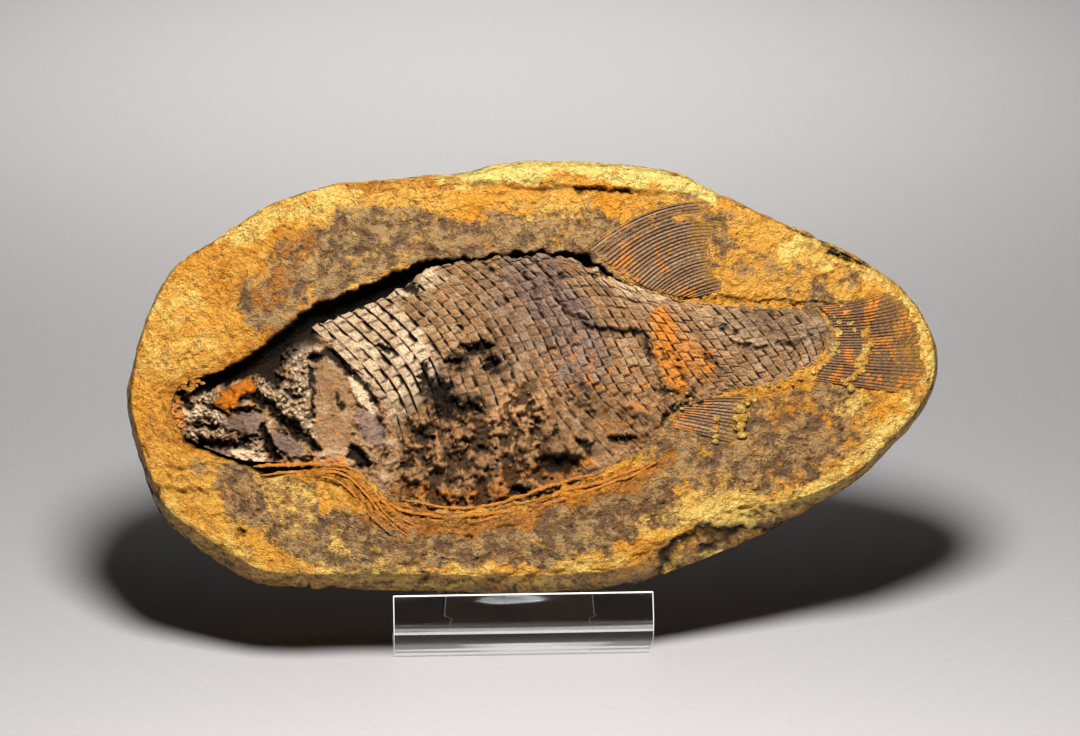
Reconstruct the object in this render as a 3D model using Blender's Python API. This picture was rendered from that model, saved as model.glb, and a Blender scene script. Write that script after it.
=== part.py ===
"""A fossil fish in one half of a split ironstone nodule, leaning on a clear bent-sheet easel.

Everything is drawn in millimetres and scaled to metres at the end. The nodule is drawn in its
own slab frame: u runs along the fish from snout to tail, v runs up the split face and w points
out of it. The slab frame then leans back on the easel. World axes: X right, Y away, Z up.
"""
import math

import bmesh
import bpy
from mathutils import Matrix, Vector, noise

MM = 0.001

# Nodule
NODULE_THICKNESS = 27.3
GIRTH_DEPTH = 7.0
BACK_CENTRE = (-6.0, -2.0)
CAVITY_FLOOR = -7.4
CAVITY_DRAFT = 0.5
LUMP_SIZE = 11.0
FACE_SINK = 0.6
FACE_LUMPS = 0.55
BORDER_DROP = 0.5
SHOULDER_SHARE = 0.7
SHOULDER_DEPTH = 0.36 * GIRTH_DEPTH
GIRTH_LUMPS = 1.2
STRIP_RISE = 1.2
CRACK_DEPTH = 1.1
BACK_LUMPS = 1.28
BACK_LUMP_SIZE = 17.0

# How the nodule rests: its lean, its roll in its own plane, and where its slab frame's origin is,
# measured from the line where the front of the easel stands on the table
SLAB_LEAN = math.radians(20.0)
SLAB_ROLL = math.radians(-0.7)
SLAB_BEHIND_FOOT = -3.4
SLAB_HEIGHT = 59.4
FRONT_FOOT_Y = -9.8

# Easel, bent from one T-shaped blank of clear sheet: a wide lip and ledge, then a narrow
# backrest that folds over and comes down as the rear leg
SHEET = 2.5
LIP_WIDTH = 51.0
NECK_WIDTH = 26.0
FOLD_WIDTH = 21.0
EASEL_OFFSET = -2.8
LEDGE_SLOPE = math.radians(33.0)
BACKREST_LEAN = math.radians(28.0)
LIP_HEIGHT = 9.1
LEDGE_DEPTH = 23.9
BACKREST_HEIGHT = 60.0
REAR_FOOT = 36.0
BEND_RADIUS = 5.0
BEND_STEPS = 6
FOOT_CUT = 0.25

# Mesh density
POINTS_PER_QUARTER = 26
BACK_RINGS = (0.25, 0.5, 0.7, 0.84, 0.93, 0.98)
FACE_RINGS = (0.33, 0.66)
SCALE_ROWS = 37
HEAD_COLUMNS = 14
BODY_CELLS_DOWN = 16

# Silhouette of the nodule: u, v, and the width of the rounded edge down from the split face.
# Four quarters run clockwise from the blunt end, and each starts at its anchor point.
EDGE_QUARTERS = (
    ((-80.2, -6.0, 1.6), (-79.2, 2.5, 1.4), (-77.3, 9.0, 1.2), (-74.6, 15.5, 1.0), (-70.0, 22.5, 1.0),
     (-63.5, 26.7, 1.0), (-56.5, 31.2, 1.0), (-49.0, 35.4, 1.0), (-39.0, 38.2, 1.2), (-28.0, 38.9, 1.4),
     (-14.0, 40.4, 1.6), (-5.5, 42.3, 1.8)),
    ((6.0, 42.6, 1.8), (18.0, 42.0, 1.8), (29.0, 40.2, 1.6), (33.6, 37.6, 1.4), (42.0, 33.6, 1.2),
     (50.5, 29.8, 1.2), (58.5, 26.3, 1.2), (66.0, 22.2, 1.2), (72.0, 18.0, 1.2), (76.6, 13.2, 1.4),
     (79.6, 7.0, 1.6)),
    ((80.3, 0.5, 1.8), (78.6, -5.0, 2.0), (75.0, -10.5, 2.2), (70.0, -15.6, 2.2), (64.5, -21.0, 2.4),
     (56.0, -26.2, 3.4), (47.0, -31.0, 6.0), (37.0, -35.4, 7.4), (27.0, -39.4, 6.6), (18.0, -42.0, 4.4),
     (4.0, -43.4, 4.6)),
    ((-12.0, -43.6, 4.6), (-28.0, -42.7, 4.0), (-44.0, -42.2, 3.4), (-53.5, -41.6, 3.6),
     (-61.0, -37.8, 3.6), (-68.0, -33.0, 3.4), (-74.0, -27.0, 2.6), (-77.5, -17.5, 1.8)),
)

# Rim of the hollow that holds the fish, in the same four quarters.
CAVITY_QUARTERS = (
    ((-71.0, -4.5), (-67.0, -0.8), (-61.0, 1.2), (-55.0, 4.8), (-49.5, 9.0), (-44.0, 13.5), (-36.0, 16.8),
     (-28.0, 19.8), (-21.0, 22.6), (-12.0, 23.2)),
    ((-2.0, 24.4), (9.0, 24.0), (14.0, 20.9), (19.0, 17.2), (24.0, 14.2), (31.0, 13.3), (42.0, 12.8),
     (52.0, 12.2)),
    ((56.8, 8.6), (55.2, 3.0), (50.0, 0.4), (43.0, -1.9), (34.0, -4.2), (28.0, -6.9), (24.0, -11.0),
     (19.0, -16.0), (9.0, -20.9), (-1.0, -24.4)),
    ((-12.0, -26.4), (-20.0, -26.4), (-28.0, -24.6), (-33.0, -20.0), (-38.0, -17.8), (-46.0, -18.6),
     (-52.5, -20.0), (-56.5, -17.8), (-63.0, -15.2), (-68.5, -12.6)),
)

# Lines down the fish from back to belly. The first four cross the head; the rest are scale rows.
HEAD_GUIDES = 3
GUIDES = (
    ((-70.5, -4.2), (-70.8, -5.8), (-70.8, -7.4), (-70.4, -9.0), (-69.6, -10.6), (-68.6, -12.0)),
    ((-59.0, 0.0), (-60.0, -3.2), (-60.2, -6.6), (-60.0, -10.0), (-59.0, -13.2), (-58.0, -16.2)),
    ((-50.5, 3.6), (-50.0, -1.0), (-48.8, -5.6), (-47.6, -10.0), (-46.8, -14.0), (-46.4, -17.6)),
    ((-43.5, 9.5), (-37.5, 3.5), (-31.5, -3.5), (-28.4, -10.0), (-27.4, -16.5), (-28.4, -23.0)),
    ((-31.0, 14.8), (-25.5, 8.0), (-20.8, 0.3), (-18.5, -8.0), (-17.0, -16.5), (-16.0, -25.4)),
    ((-19.5, 20.6), (-13.5, 11.4), (-8.3, 1.0), (-5.3, -7.5), (-3.0, -15.5), (-1.0, -22.6)),
    ((-2.8, 21.6), (2.2, 12.6), (6.5, 2.5), (10.0, -5.3), (12.6, -11.0), (14.8, -16.0)),
    ((12.0, 20.6), (16.2, 14.0), (20.0, 7.0), (23.0, 0.5), (25.2, -4.6), (27.0, -8.2)),
    ((25.0, 14.9), (28.5, 10.8), (31.8, 6.3), (34.8, 2.2), (37.5, -1.5), (39.8, -4.0)),
    ((38.0, 14.0), (40.8, 11.2), (43.5, 8.2), (46.0, 5.0), (48.3, 2.0), (50.3, -0.8)),
    ((54.6, 13.1), (56.4, 11.2), (57.7, 9.2), (58.4, 7.0), (58.4, 4.9), (57.6, 2.8)),
)
# Height of the fish along those lines: at the back edge, at the crest of the flank and at the belly.
PROFILE = (
    (-4.0, -2.6, -3.4), (-6.6, -2.6, -3.0), (-6.6, -2.0, -2.8), (-5.2, -1.0, -2.6), (-4.8, -0.6, -2.6),
    (-4.2, -0.5, -2.4), (-3.8, -0.5, -2.2), (-2.4, -0.4, -1.6), (-1.6, -0.2, -1.0), (-1.0, 0.2, -0.7),
    (-0.6, 0.3, -0.4),
)
CREST_AT = 0.38
SCALE_STEP = 0.5
SCALE_GAP = 0.3
BODY_ROOT = -9.0

# The broken edge of the upper layer of scales: everything above and behind it stands higher.
LEDGE_LINE = ((2.5, 19.5), (6.5, 12.5), (10.9, 9.7), (21.4, 8.7), (22.3, 5.5), (23.8, 2.5), (25.0, -3.0))
LEDGE_RISE = 0.8
LEDGE_FADE = 14.0

# Hollows in the flank and the head: u, v, radius, depth.
HOLLOWS = (
    (3.0, -17.8, 3.2, 3.2), (-2.5, -21.6, 2.6, 2.4), (-9.5, 1.6, 2.6, 1.8), (-16.5, -4.8, 2.8, 2.0),
    (-9.0, -6.0, 2.6, 2.0), (-19.5, -1.5, 2.2, 1.6), (3.0, -10.5, 2.2, 1.6), (17.5, -12.6, 3.2, 1.6),
    (-23.0, -13.6, 2.6, 1.6), (-34.0, -16.0, 2.0, 2.6), (-49.5, -8.6, 2.6, 2.8), (-58.0, -13.0, 4.0, 2.2),
    (-52.0, -12.5, 2.0, 2.4), (-62.0, -5.8, 2.4, 2.0), (-44.5, 1.8, 3.4, 2.6), (-13.0, -13.4, 2.4, 1.2),
    (-20.0, -24.0, 2.2, 1.2), (8.0, -13.5, 2.4, 1.4),
)
# Lumps on the head and the belly: u, v, radius, height.
LUMPS = (
    (-58.0, -3.0, 2.8, 2.6), (-65.0, -3.4, 2.2, 1.8), (-50.5, -4.0, 3.0, 1.8), (-50.0, -6.8, 2.2, 1.4),
    (-63.5, -8.6, 3.0, 1.2), (-56.5, -8.8, 3.4, 1.0), (-38.5, -4.0, 6.0, 1.4), (-40.0, -12.0, 5.0, 1.0),
    (-33.6, -4.5, 2.8, 1.0), (-7.0, -15.0, 3.0, 0.9), (-17.0, -18.5, 3.0, 0.8), (2.0, -7.0, 2.6, 0.8),
)

# Fins: each runs from a line of ray roots to a line of ray tips. sweep bows the rays sideways.
FIN_THICKNESS = 3.0
TIP_SINK = 0.5
FINS = {
    "dorsal_fin": {
        "roots": ((10.6, 22.4), (14.0, 20.2), (18.0, 18.0), (22.0, 16.2), (26.0, 15.2), (31.0, 14.9)),
        "tips": ((38.0, 31.8), (35.8, 28.8), (34.6, 25.6), (34.4, 22.4), (35.4, 19.4), (38.5, 16.8)),
        "rays": 17, "bow": 2.6, "rise": 0.5, "ridge": 0.55, "root_depth": -1.2,
    },
    "anal_fin": {
        "roots": ((30.5, -5.0), (28.8, -6.4), (27.2, -8.0), (25.4, -10.0)),
        "tips": ((43.5, -4.8), (43.0, -8.0), (41.8, -11.0), (40.0, -13.8)),
        "rays": 9, "bow": 0.6, "rise": 0.5, "ridge": 0.5, "root_depth": -1.0,
    },
    "tail_fin": {
        "roots": ((55.5, 13.4), (58.0, 10.8), (58.8, 7.6), (58.4, 4.6), (57.0, 1.6), (54.6, -1.2)),
        "tips": ((71.4, 18.6), (74.4, 14.0), (76.4, 9.4), (77.4, 4.8), (77.4, 0.2), (75.6, -4.4)),
        "rays": 20, "bow": -0.8, "rise": 0.5, "ridge": 0.5, "root_depth": -0.2,
    },
}

# Thin bones and the rust rim that run along the belly: path points and half thickness.
RODS = {
    "belly_rim": (((-29.0, -24.6), (-24.0, -26.4), (-16.0, -27.4), (-8.0, -26.8), (-1.0, -25.0),
                   (6.0, -22.4), (14.0, -20.4), (23.0, -17.2)), 1.3, -0.9),
    "fin_spine_low": (((-44.0, -18.8), (-38.0, -19.2), (-34.0, -22.0), (-31.0, -26.0), (-28.0, -28.8),
                       (-24.6, -31.4)), 0.7, -0.3),
    "fin_spine_high": (((-40.0, -17.6), (-35.0, -18.6), (-32.0, -21.8), (-29.4, -25.2), (-25.0, -28.0)),
                       0.7, -0.3),
    "jaw_bone": (((-55.0, -17.6), (-50.0, -17.4), (-43.0, -17.2), (-37.0, -18.0)), 0.8, -0.6),
}
ROD_STEPS = 14


def clear_scene():
    for obj in list(bpy.data.objects):
        bpy.data.objects.remove(obj, do_unlink=True)


def collection(name, hidden=False):
    made = bpy.data.collections.new(name)
    made.hide_render = hidden
    bpy.context.scene.collection.children.link(made)
    return made


def catmull(a, b, c, d, x):
    """The point at x, from 0 to 1, between b and c."""
    return 0.5 * (2 * b + (c - a) * x + (2 * a - 5 * b + 4 * c - d) * x * x + (3 * b - a - 3 * c + d) * x ** 3)


def on_line(points, share):
    """The point at a share, from 0 to 1, of an open curve through points, counted by points."""
    last = len(points) - 1
    place = min(max(share, 0.0), 1.0) * last
    i = min(int(place), last - 1)
    ends = [Vector(points[min(max(i + k, 0), last)]) for k in (-1, 0, 1, 2)]
    return catmull(*ends, place - i)


def closed_ring(quarters, per_quarter):
    """Points spaced evenly along each quarter of the closed curve through all the quarters' points."""
    points = [Vector(p) for quarter in quarters for p in quarter]
    count = len(points)
    ring = []
    start = 0
    for quarter in quarters:
        fine = []
        for i in range(start, start + len(quarter)):
            ends = [points[(i + k) % count] for k in (-1, 0, 1, 2)]
            fine += [catmull(*ends, x / 12) for x in range(12)]
        start += len(quarter)
        fine.append(points[start % count])
        lengths = [0.0]
        for a, b in zip(fine, fine[1:]):
            lengths.append(lengths[-1] + (b - a).xy.length)
        at = 0
        for k in range(per_quarter):
            want = lengths[-1] * k / per_quarter
            while lengths[at + 1] < want:
                at += 1
            ring.append(fine[at].lerp(fine[at + 1], (want - lengths[at]) / (lengths[at + 1] - lengths[at])))
    return ring


def smooth_step(x):
    x = min(max(x, 0.0), 1.0)
    return x * x * (3 - 2 * x)


def rough(u, v, w=0.0, size=LUMP_SIZE, depth=3):
    """Fractal lumps, from about -1 to 1."""
    return noise.fractal(Vector((u, v, w)) / size, 0.9, 2.1, depth)


def from_path(u, v, path):
    """Signed distance from an open path, positive on its left, and the share of the path there."""
    best = (1e9, 0.0, 0.0)
    for i, (a, b) in enumerate(zip(path, path[1:])):
        start, along = Vector(a), Vector(b) - Vector(a)
        to_point = Vector((u, v)) - start
        share = min(max(to_point.dot(along) / along.length_squared, 0.0), 1.0)
        gap = (to_point - along * share).length
        if gap < best[0]:
            side = along.x * to_point.y - along.y * to_point.x
            best = (gap, math.copysign(gap, side), (i + share) / (len(path) - 1))
    return best[1], best[2]


def face_height(u, v):
    """Height of the split face: lumpy, with a raised strip of bedding along its top edge."""
    strip = smooth_step((v - 36.4 + 0.07 * abs(u - 8)) / 1.0) * smooth_step((u + 12) / 14)
    crack = math.exp(-((v + 22.4 + 0.1 * (u + 70)) / 0.9) ** 2) * smooth_step((-u - 58) / 10)
    return FACE_LUMPS * rough(u, v, 3.0) - FACE_SINK + STRIP_RISE * strip - CRACK_DEPTH * crack


def spots(u, v, places):
    """The deepest of several round dents or bumps at a point."""
    return max((size * math.exp(-((u - a) ** 2 + (v - b) ** 2) / (0.55 * r * r)) for a, b, r, size in places))


def nodule_rings():
    """Rings of points from the middle of the back, round the edge, over the face and into the hollow."""
    edge = closed_ring(EDGE_QUARTERS, POINTS_PER_QUARTER)
    rim = closed_ring(CAVITY_QUARTERS, POINTS_PER_QUARTER)
    count = len(edge)
    bevel = []
    for i, point in enumerate(edge):
        along = edge[(i + 1) % count] - edge[i - 1]
        inwards = Vector((along.y, -along.x)).normalized()
        bevel.append(Vector((point.x, point.y)) + inwards * point.z)
    rings = []
    middle = Vector(BACK_CENTRE)
    for share in BACK_RINGS:
        ring = []
        for point in edge:
            flat = middle.lerp(point.xy, share)
            depth = GIRTH_DEPTH + (NODULE_THICKNESS - GIRTH_DEPTH) * (1 - share ** 2.6) ** 0.62
            depth += BACK_LUMPS * rough(flat.x, flat.y, 40.0, BACK_LUMP_SIZE)
            ring.append((flat.x, flat.y, -depth))
        rings.append(ring)
    rings.append([(p.x, p.y, GIRTH_LUMPS * rough(p.x, p.y, 9.0) - GIRTH_DEPTH) for p in edge])
    rings.append([(*p.xy.lerp(b, SHOULDER_SHARE), -SHOULDER_DEPTH) for p, b in zip(edge, bevel)])
    for share in (0.0, *FACE_RINGS, 1.0):
        flat = [b.lerp(r.xy, share) for b, r in zip(bevel, rim)]
        drop = BORDER_DROP if share == 0.0 else 0.0
        rings.append([(p.x, p.y, face_height(p.x, p.y) - drop) for p in flat])
    middle = sum((r.xy for r in rim), Vector((0.0, 0.0))) / count
    rings.append([(*(r.xy - (r.xy - middle).normalized() * CAVITY_DRAFT), CAVITY_FLOOR) for r in rim])
    return rings


def build_nodule(name):
    """The half nodule as one loft, from a pole on its back to the flat floor of the hollow."""
    bm = bmesh.new()
    pole = bm.verts.new((*BACK_CENTRE, -NODULE_THICKNESS))
    rings = [[bm.verts.new(p) for p in ring] for ring in nodule_rings()]
    count = len(rings[0])
    for i in range(count):
        bm.faces.new((pole, rings[0][i], rings[0][(i + 1) % count]))
    for outer, inner in zip(rings, rings[1:]):
        for i in range(count):
            j = (i + 1) % count
            bm.faces.new((outer[i], inner[i], inner[j], outer[j]))
    bm.faces.new(rings[-1])
    return finished(bm, name)


def finished(bm, name):
    """Triangles facing out, as an object in metres."""
    bmesh.ops.triangulate(bm, faces=bm.faces[:])
    bmesh.ops.recalc_face_normals(bm, faces=bm.faces[:])
    bmesh.ops.scale(bm, vec=(MM, MM, MM), verts=bm.verts[:])
    mesh = bpy.data.meshes.new(name)
    bm.to_mesh(mesh)
    bm.free()
    return bpy.data.objects.new(name, mesh)


def between_guides(table, row):
    """A row of values between the guide lines' rows, with row counted in guides."""
    last = len(table) - 1
    i = min(int(row), last - 1)
    rows = [table[min(max(i + k, 0), last)] for k in (-1, 0, 1, 2)]
    return [catmull(*(Vector(r[k]) if hasattr(r[k], "__len__") else r[k] for r in rows), row - i)
            for k in range(len(rows[0]))]


def body_columns():
    """Where each column of the fish's mesh lies, in guides, and how far it stands above the skin."""
    columns = [(HEAD_GUIDES * k / HEAD_COLUMNS, 0.0) for k in range(HEAD_COLUMNS)]
    span = len(GUIDES) - 1 - HEAD_GUIDES
    for row in range(SCALE_ROWS):
        front = HEAD_GUIDES + span * row / SCALE_ROWS
        width = span / SCALE_ROWS
        columns.append((front, -SCALE_GAP))
        columns.append((front + 0.82 * width, SCALE_STEP))
    columns.append((len(GUIDES) - 1.0, -SCALE_GAP))
    return columns


def body_height(profile, down, u, v):
    back, crest, belly = profile
    if down < CREST_AT:
        height = crest - (crest - back) * (1 - down / CREST_AT) ** 2
    else:
        height = crest - (crest - belly) * ((down - CREST_AT) / (1 - CREST_AT)) ** 2
    side, share = from_path(u, v, LEDGE_LINE)
    height += LEDGE_RISE * smooth_step(0.5 + side / 1.2) * smooth_step(1.3 - abs(side) / LEDGE_FADE)
    height -= spots(u, v, HOLLOWS)
    return height + spots(u, v, LUMPS)


def grid_solid(name, across, down, place, root):
    """A sheet of across by down cells, each point set by place(column, share down), closed below at root."""
    bm = bmesh.new()
    bmesh.ops.create_grid(bm, x_segments=across, y_segments=down, size=0.5)
    for vert in bm.verts:
        column = round((vert.co.x + 0.5) * across)
        vert.co = place(column, min(max(0.5 - vert.co.y, 0.0), 1.0))
    skirt = bmesh.ops.extrude_face_region(bm, geom=bm.faces[:])
    for item in skirt["geom"]:
        if isinstance(item, bmesh.types.BMVert):
            item.co.z = root
    return finished(bm, name)


def build_body(name):
    """The fish's head and flank: a domed skin with a step at every row of scales."""
    columns = body_columns()

    def place(column, down):
        where, step = columns[column]
        flat = on_line(between_guides(GUIDES, where), down)
        profile = between_guides(PROFILE, where)
        worn = smooth_step((down - 0.62) / 0.2) * smooth_step((7.2 - where) / 1.0)
        step = step * (1 - 0.6 * worn) + 0.5 * worn * rough(flat.x, flat.y, 5.0, 3.0, 1)
        return Vector((flat.x, flat.y, body_height(profile, down, flat.x, flat.y) + step))

    return grid_solid(name, len(columns) - 1, BODY_CELLS_DOWN, place, BODY_ROOT)


def build_fin(name, roots, tips, rays, bow, rise, ridge, root_depth):
    """A fan of rays: a ridge for each ray and a groove between, from its root to its tip."""
    across = 2 * rays

    def place(column, down):
        share = column / across
        flat = on_line(roots, share).lerp(on_line(tips, share), down)
        sideways = Vector(tips[0]) - Vector(tips[-1])
        flat += sideways.normalized() * bow * (1 - share) * 4 * down * (1 - down)
        height = face_height(flat.x, flat.y) + root_depth * (1 - down) ** 2
        height += rise - (rise + TIP_SINK) * smooth_step((down - 0.5) / 0.5)
        if column % 2:
            height += ridge * (1 - 0.6 * down)
        return Vector((flat.x, flat.y, height))

    return grid_solid(name, across, 4, place, -FIN_THICKNESS)


def build_rod(name, path, radius, height):
    """A thin bone or ridge lying on the face, drawn as a tube with a point every few millimetres."""
    curve = bpy.data.curves.new(name, "CURVE")
    curve.dimensions = "3D"
    curve.bevel_depth = radius * MM
    curve.bevel_resolution = 0
    curve.use_fill_caps = True
    spline = curve.splines.new("POLY")
    spline.points.add(ROD_STEPS)
    for k, point in enumerate(spline.points):
        flat = on_line(path, k / ROD_STEPS)
        point.co = (flat.x * MM, flat.y * MM, (face_height(flat.x, flat.y) + height + 0.6) * MM, 1.0)
        point.radius = 0.55 + 0.45 * math.sin(math.pi * (0.1 + 0.8 * k / ROD_STEPS))
    tube = bpy.data.objects.new(name, curve)
    bpy.context.scene.collection.objects.link(tube)
    bpy.context.view_layer.update()
    solid = bpy.data.meshes.new_from_object(tube.evaluated_get(bpy.context.evaluated_depsgraph_get()))
    bpy.data.objects.remove(tube)
    bm = bmesh.new()
    bm.from_mesh(solid)
    bmesh.ops.remove_doubles(bm, verts=bm.verts[:], dist=0.02 * MM)
    bmesh.ops.recalc_face_normals(bm, faces=bm.faces[:])
    bm.to_mesh(solid)
    bm.free()
    return bpy.data.objects.new(name, solid)


def slab_matrix():
    """The slab frame's place in the world: u along X, v up and back, w out towards the front."""
    out = Vector((0, -math.cos(SLAB_LEAN), math.sin(SLAB_LEAN)))
    up = Vector((0, math.sin(SLAB_LEAN), math.cos(SLAB_LEAN)))
    turn = Matrix((Vector((1, 0, 0)), up, out)).transposed().to_4x4()
    place = Vector((0, FRONT_FOOT_Y + SLAB_BEHIND_FOOT, SLAB_HEIGHT))
    return Matrix.Translation(place * MM) @ turn @ Matrix.Rotation(SLAB_ROLL, 4, "Z")


def join_to(target, piece, pieces):
    pieces.objects.link(piece)
    piece.hide_render = True
    piece.display_type = "WIRE"
    piece.matrix_world = target.matrix_world
    union = target.modifiers.new(piece.name, "BOOLEAN")
    union.operation = "UNION"
    union.object = piece


def bend_arc(before, here, after):
    """An arc of BEND_RADIUS that rounds the corner at here."""
    to_before = (before - here).normalized()
    to_after = (after - here).normalized()
    half = to_before.angle(to_after) / 2
    centre = here + (to_before + to_after).normalized() * BEND_RADIUS / math.sin(half)
    start = here + to_before * BEND_RADIUS / math.tan(half) - centre
    finish = here + to_after * BEND_RADIUS / math.tan(half) - centre
    sweep = start.angle_signed(finish)
    return [centre + Matrix.Rotation(-sweep * k / BEND_STEPS, 2) @ start for k in range(BEND_STEPS + 1)]


def sheet_line():
    """The lower face of the sheet from the side, as stretches of (y, z): lip, ledge, backrest and leg."""
    front = Vector((-math.cos(LEDGE_SLOPE), math.sin(LEDGE_SLOPE)))
    lip_up = Vector((math.sin(LEDGE_SLOPE), math.cos(LEDGE_SLOPE)))
    back_up = Vector((math.sin(BACKREST_LEAN), math.cos(BACKREST_LEAN)))
    bisector = (front + back_up).normalized()
    lowest = BEND_RADIUS * bisector.y / math.sin(front.angle(back_up) / 2) - BEND_RADIUS
    corner = Vector((FRONT_FOOT_Y, -lowest - FOOT_CUT))
    bend = corner + front * LEDGE_DEPTH
    fold = corner + back_up * BACKREST_HEIGHT
    foot = Vector((FRONT_FOOT_Y + REAR_FOOT, -2 * SHEET))
    lip_end = bend + lip_up * LIP_HEIGHT
    lip = [lip_end, *bend_arc(lip_end, bend, corner), *bend_arc(bend, corner, fold)]
    return lip, bend_arc(corner, fold, foot), foot


def build_easel(name):
    """The blank bent along its line, given its thickness, and cut flat where it meets the table."""
    lip, fold, foot = sheet_line()
    line = lip + fold + [foot]
    neck = [NECK_WIDTH] * len(lip) + [FOLD_WIDTH] * len(fold) + [NECK_WIDTH]
    bm = bmesh.new()
    bmesh.ops.create_grid(bm, x_segments=3, y_segments=len(line) - 1, size=0.5)
    spare = []
    for face in bm.faces:
        middle = face.calc_center_median()
        if abs(middle.x) > 0.2 and (middle.y + 0.5) * (len(line) - 1) > len(lip) - 1:
            spare.append(face)
    for vert in bm.verts:
        row = round((vert.co.y + 0.5) * (len(line) - 1))
        width = LIP_WIDTH if abs(vert.co.x) > 0.4 else neck[row]
        vert.co = (EASEL_OFFSET + math.copysign(width / 2, vert.co.x), *line[row])
    bmesh.ops.delete(bm, geom=spare, context="FACES")
    bmesh.ops.recalc_face_normals(bm, faces=bm.faces[:])
    bmesh.ops.solidify(bm, geom=bm.faces[:], thickness=-SHEET)
    bmesh.ops.bisect_plane(bm, geom=bm.verts[:] + bm.edges[:] + bm.faces[:], dist=1e-4,
                           plane_co=(0, 0, 0), plane_no=(0, 0, -1), clear_outer=True)
    bmesh.ops.holes_fill(bm, edges=bm.edges[:])
    return finished(bm, name)


def painted(obj, colour, roughness, clear=0.0):
    material = bpy.data.materials.new(obj.name)
    material.use_nodes = True
    shader = material.node_tree.nodes["Principled BSDF"]
    shader.inputs["Base Color"].default_value = (*colour, 1.0)
    shader.inputs["Roughness"].default_value = roughness
    shader.inputs["Transmission Weight"].default_value = clear
    obj.data.materials.clear()
    obj.data.materials.append(material)


def main():
    clear_scene()
    parts = collection("fossil_fish_slab")
    pieces = collection("joined_pieces", hidden=True)

    slab = build_nodule("fossil_slab")
    parts.objects.link(slab)
    slab.matrix_world = slab_matrix()
    join_to(slab, build_body("fish_body"), pieces)
    for name, fin in FINS.items():
        join_to(slab, build_fin(name, **fin), pieces)
    for name, (path, radius, height) in RODS.items():
        join_to(slab, build_rod(name, path, radius, height), pieces)
    painted(slab, (0.62, 0.40, 0.14), 0.85)

    easel = build_easel("clear_easel")
    parts.objects.link(easel)
    painted(easel, (0.95, 0.97, 0.97), 0.05, clear=1.0)


main()
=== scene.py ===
"""Looks of a fossil fish in half of a split ironstone nodule, leaning on a clear bent-sheet easel.

The relief is worked out in millimetres in the slab's own frame, as the solids are: u runs along
the fish from snout to tail, v runs up the split face and w points out of it. World axes: X right,
Y away, Z up, in metres.
"""

import math

import bpy
import numpy as np
from mathutils import Matrix, Vector, noise


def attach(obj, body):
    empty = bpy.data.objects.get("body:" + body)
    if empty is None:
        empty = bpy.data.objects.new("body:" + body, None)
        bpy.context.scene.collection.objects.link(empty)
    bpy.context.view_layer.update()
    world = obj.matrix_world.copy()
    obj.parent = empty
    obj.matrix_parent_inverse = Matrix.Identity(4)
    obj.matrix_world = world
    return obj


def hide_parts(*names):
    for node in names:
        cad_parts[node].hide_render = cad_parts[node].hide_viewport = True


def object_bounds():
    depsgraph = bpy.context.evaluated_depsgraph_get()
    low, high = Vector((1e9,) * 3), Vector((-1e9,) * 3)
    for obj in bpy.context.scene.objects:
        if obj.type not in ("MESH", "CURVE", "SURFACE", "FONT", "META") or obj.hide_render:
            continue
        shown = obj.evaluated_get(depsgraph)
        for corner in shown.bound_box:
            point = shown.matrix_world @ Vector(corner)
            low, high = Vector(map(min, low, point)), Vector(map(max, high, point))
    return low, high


bl_info = {
    "name": "Fossil fish slab",
    "version": (1, 0, 0),
    "blender": (4, 5, 0),
    "location": "View3D > Sidebar > Fossil",
    "description": "Builds the stone, the scales, the fins and the clear easel of a fossil fish slab",
    "category": "Add Mesh",
}

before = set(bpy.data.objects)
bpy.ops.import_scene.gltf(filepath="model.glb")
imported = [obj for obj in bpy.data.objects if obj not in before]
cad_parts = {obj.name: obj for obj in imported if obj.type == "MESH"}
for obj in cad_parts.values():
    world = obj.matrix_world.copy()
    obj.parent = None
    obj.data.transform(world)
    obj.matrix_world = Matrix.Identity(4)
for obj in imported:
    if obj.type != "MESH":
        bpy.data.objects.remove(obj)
CAD_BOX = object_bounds()

MM = 0.001

# How the slab stands, as in the solids
SLAB_LEAN = math.radians(20.0)
SLAB_ROLL = math.radians(-0.7)
SLAB_PLACE = (0.0, -13.2, 59.4)

# Nodule, as in the solids
NODULE_THICKNESS = 27.3
GIRTH_DEPTH = 7.0
BACK_CENTRE = (-6.0, -2.0)
CAVITY_MIDDLE = (-5.0, 0.0)
CAVITY_FLOOR = -7.4
LUMP_SIZE = 11.0
BOX_GAP = 0.00008

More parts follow.
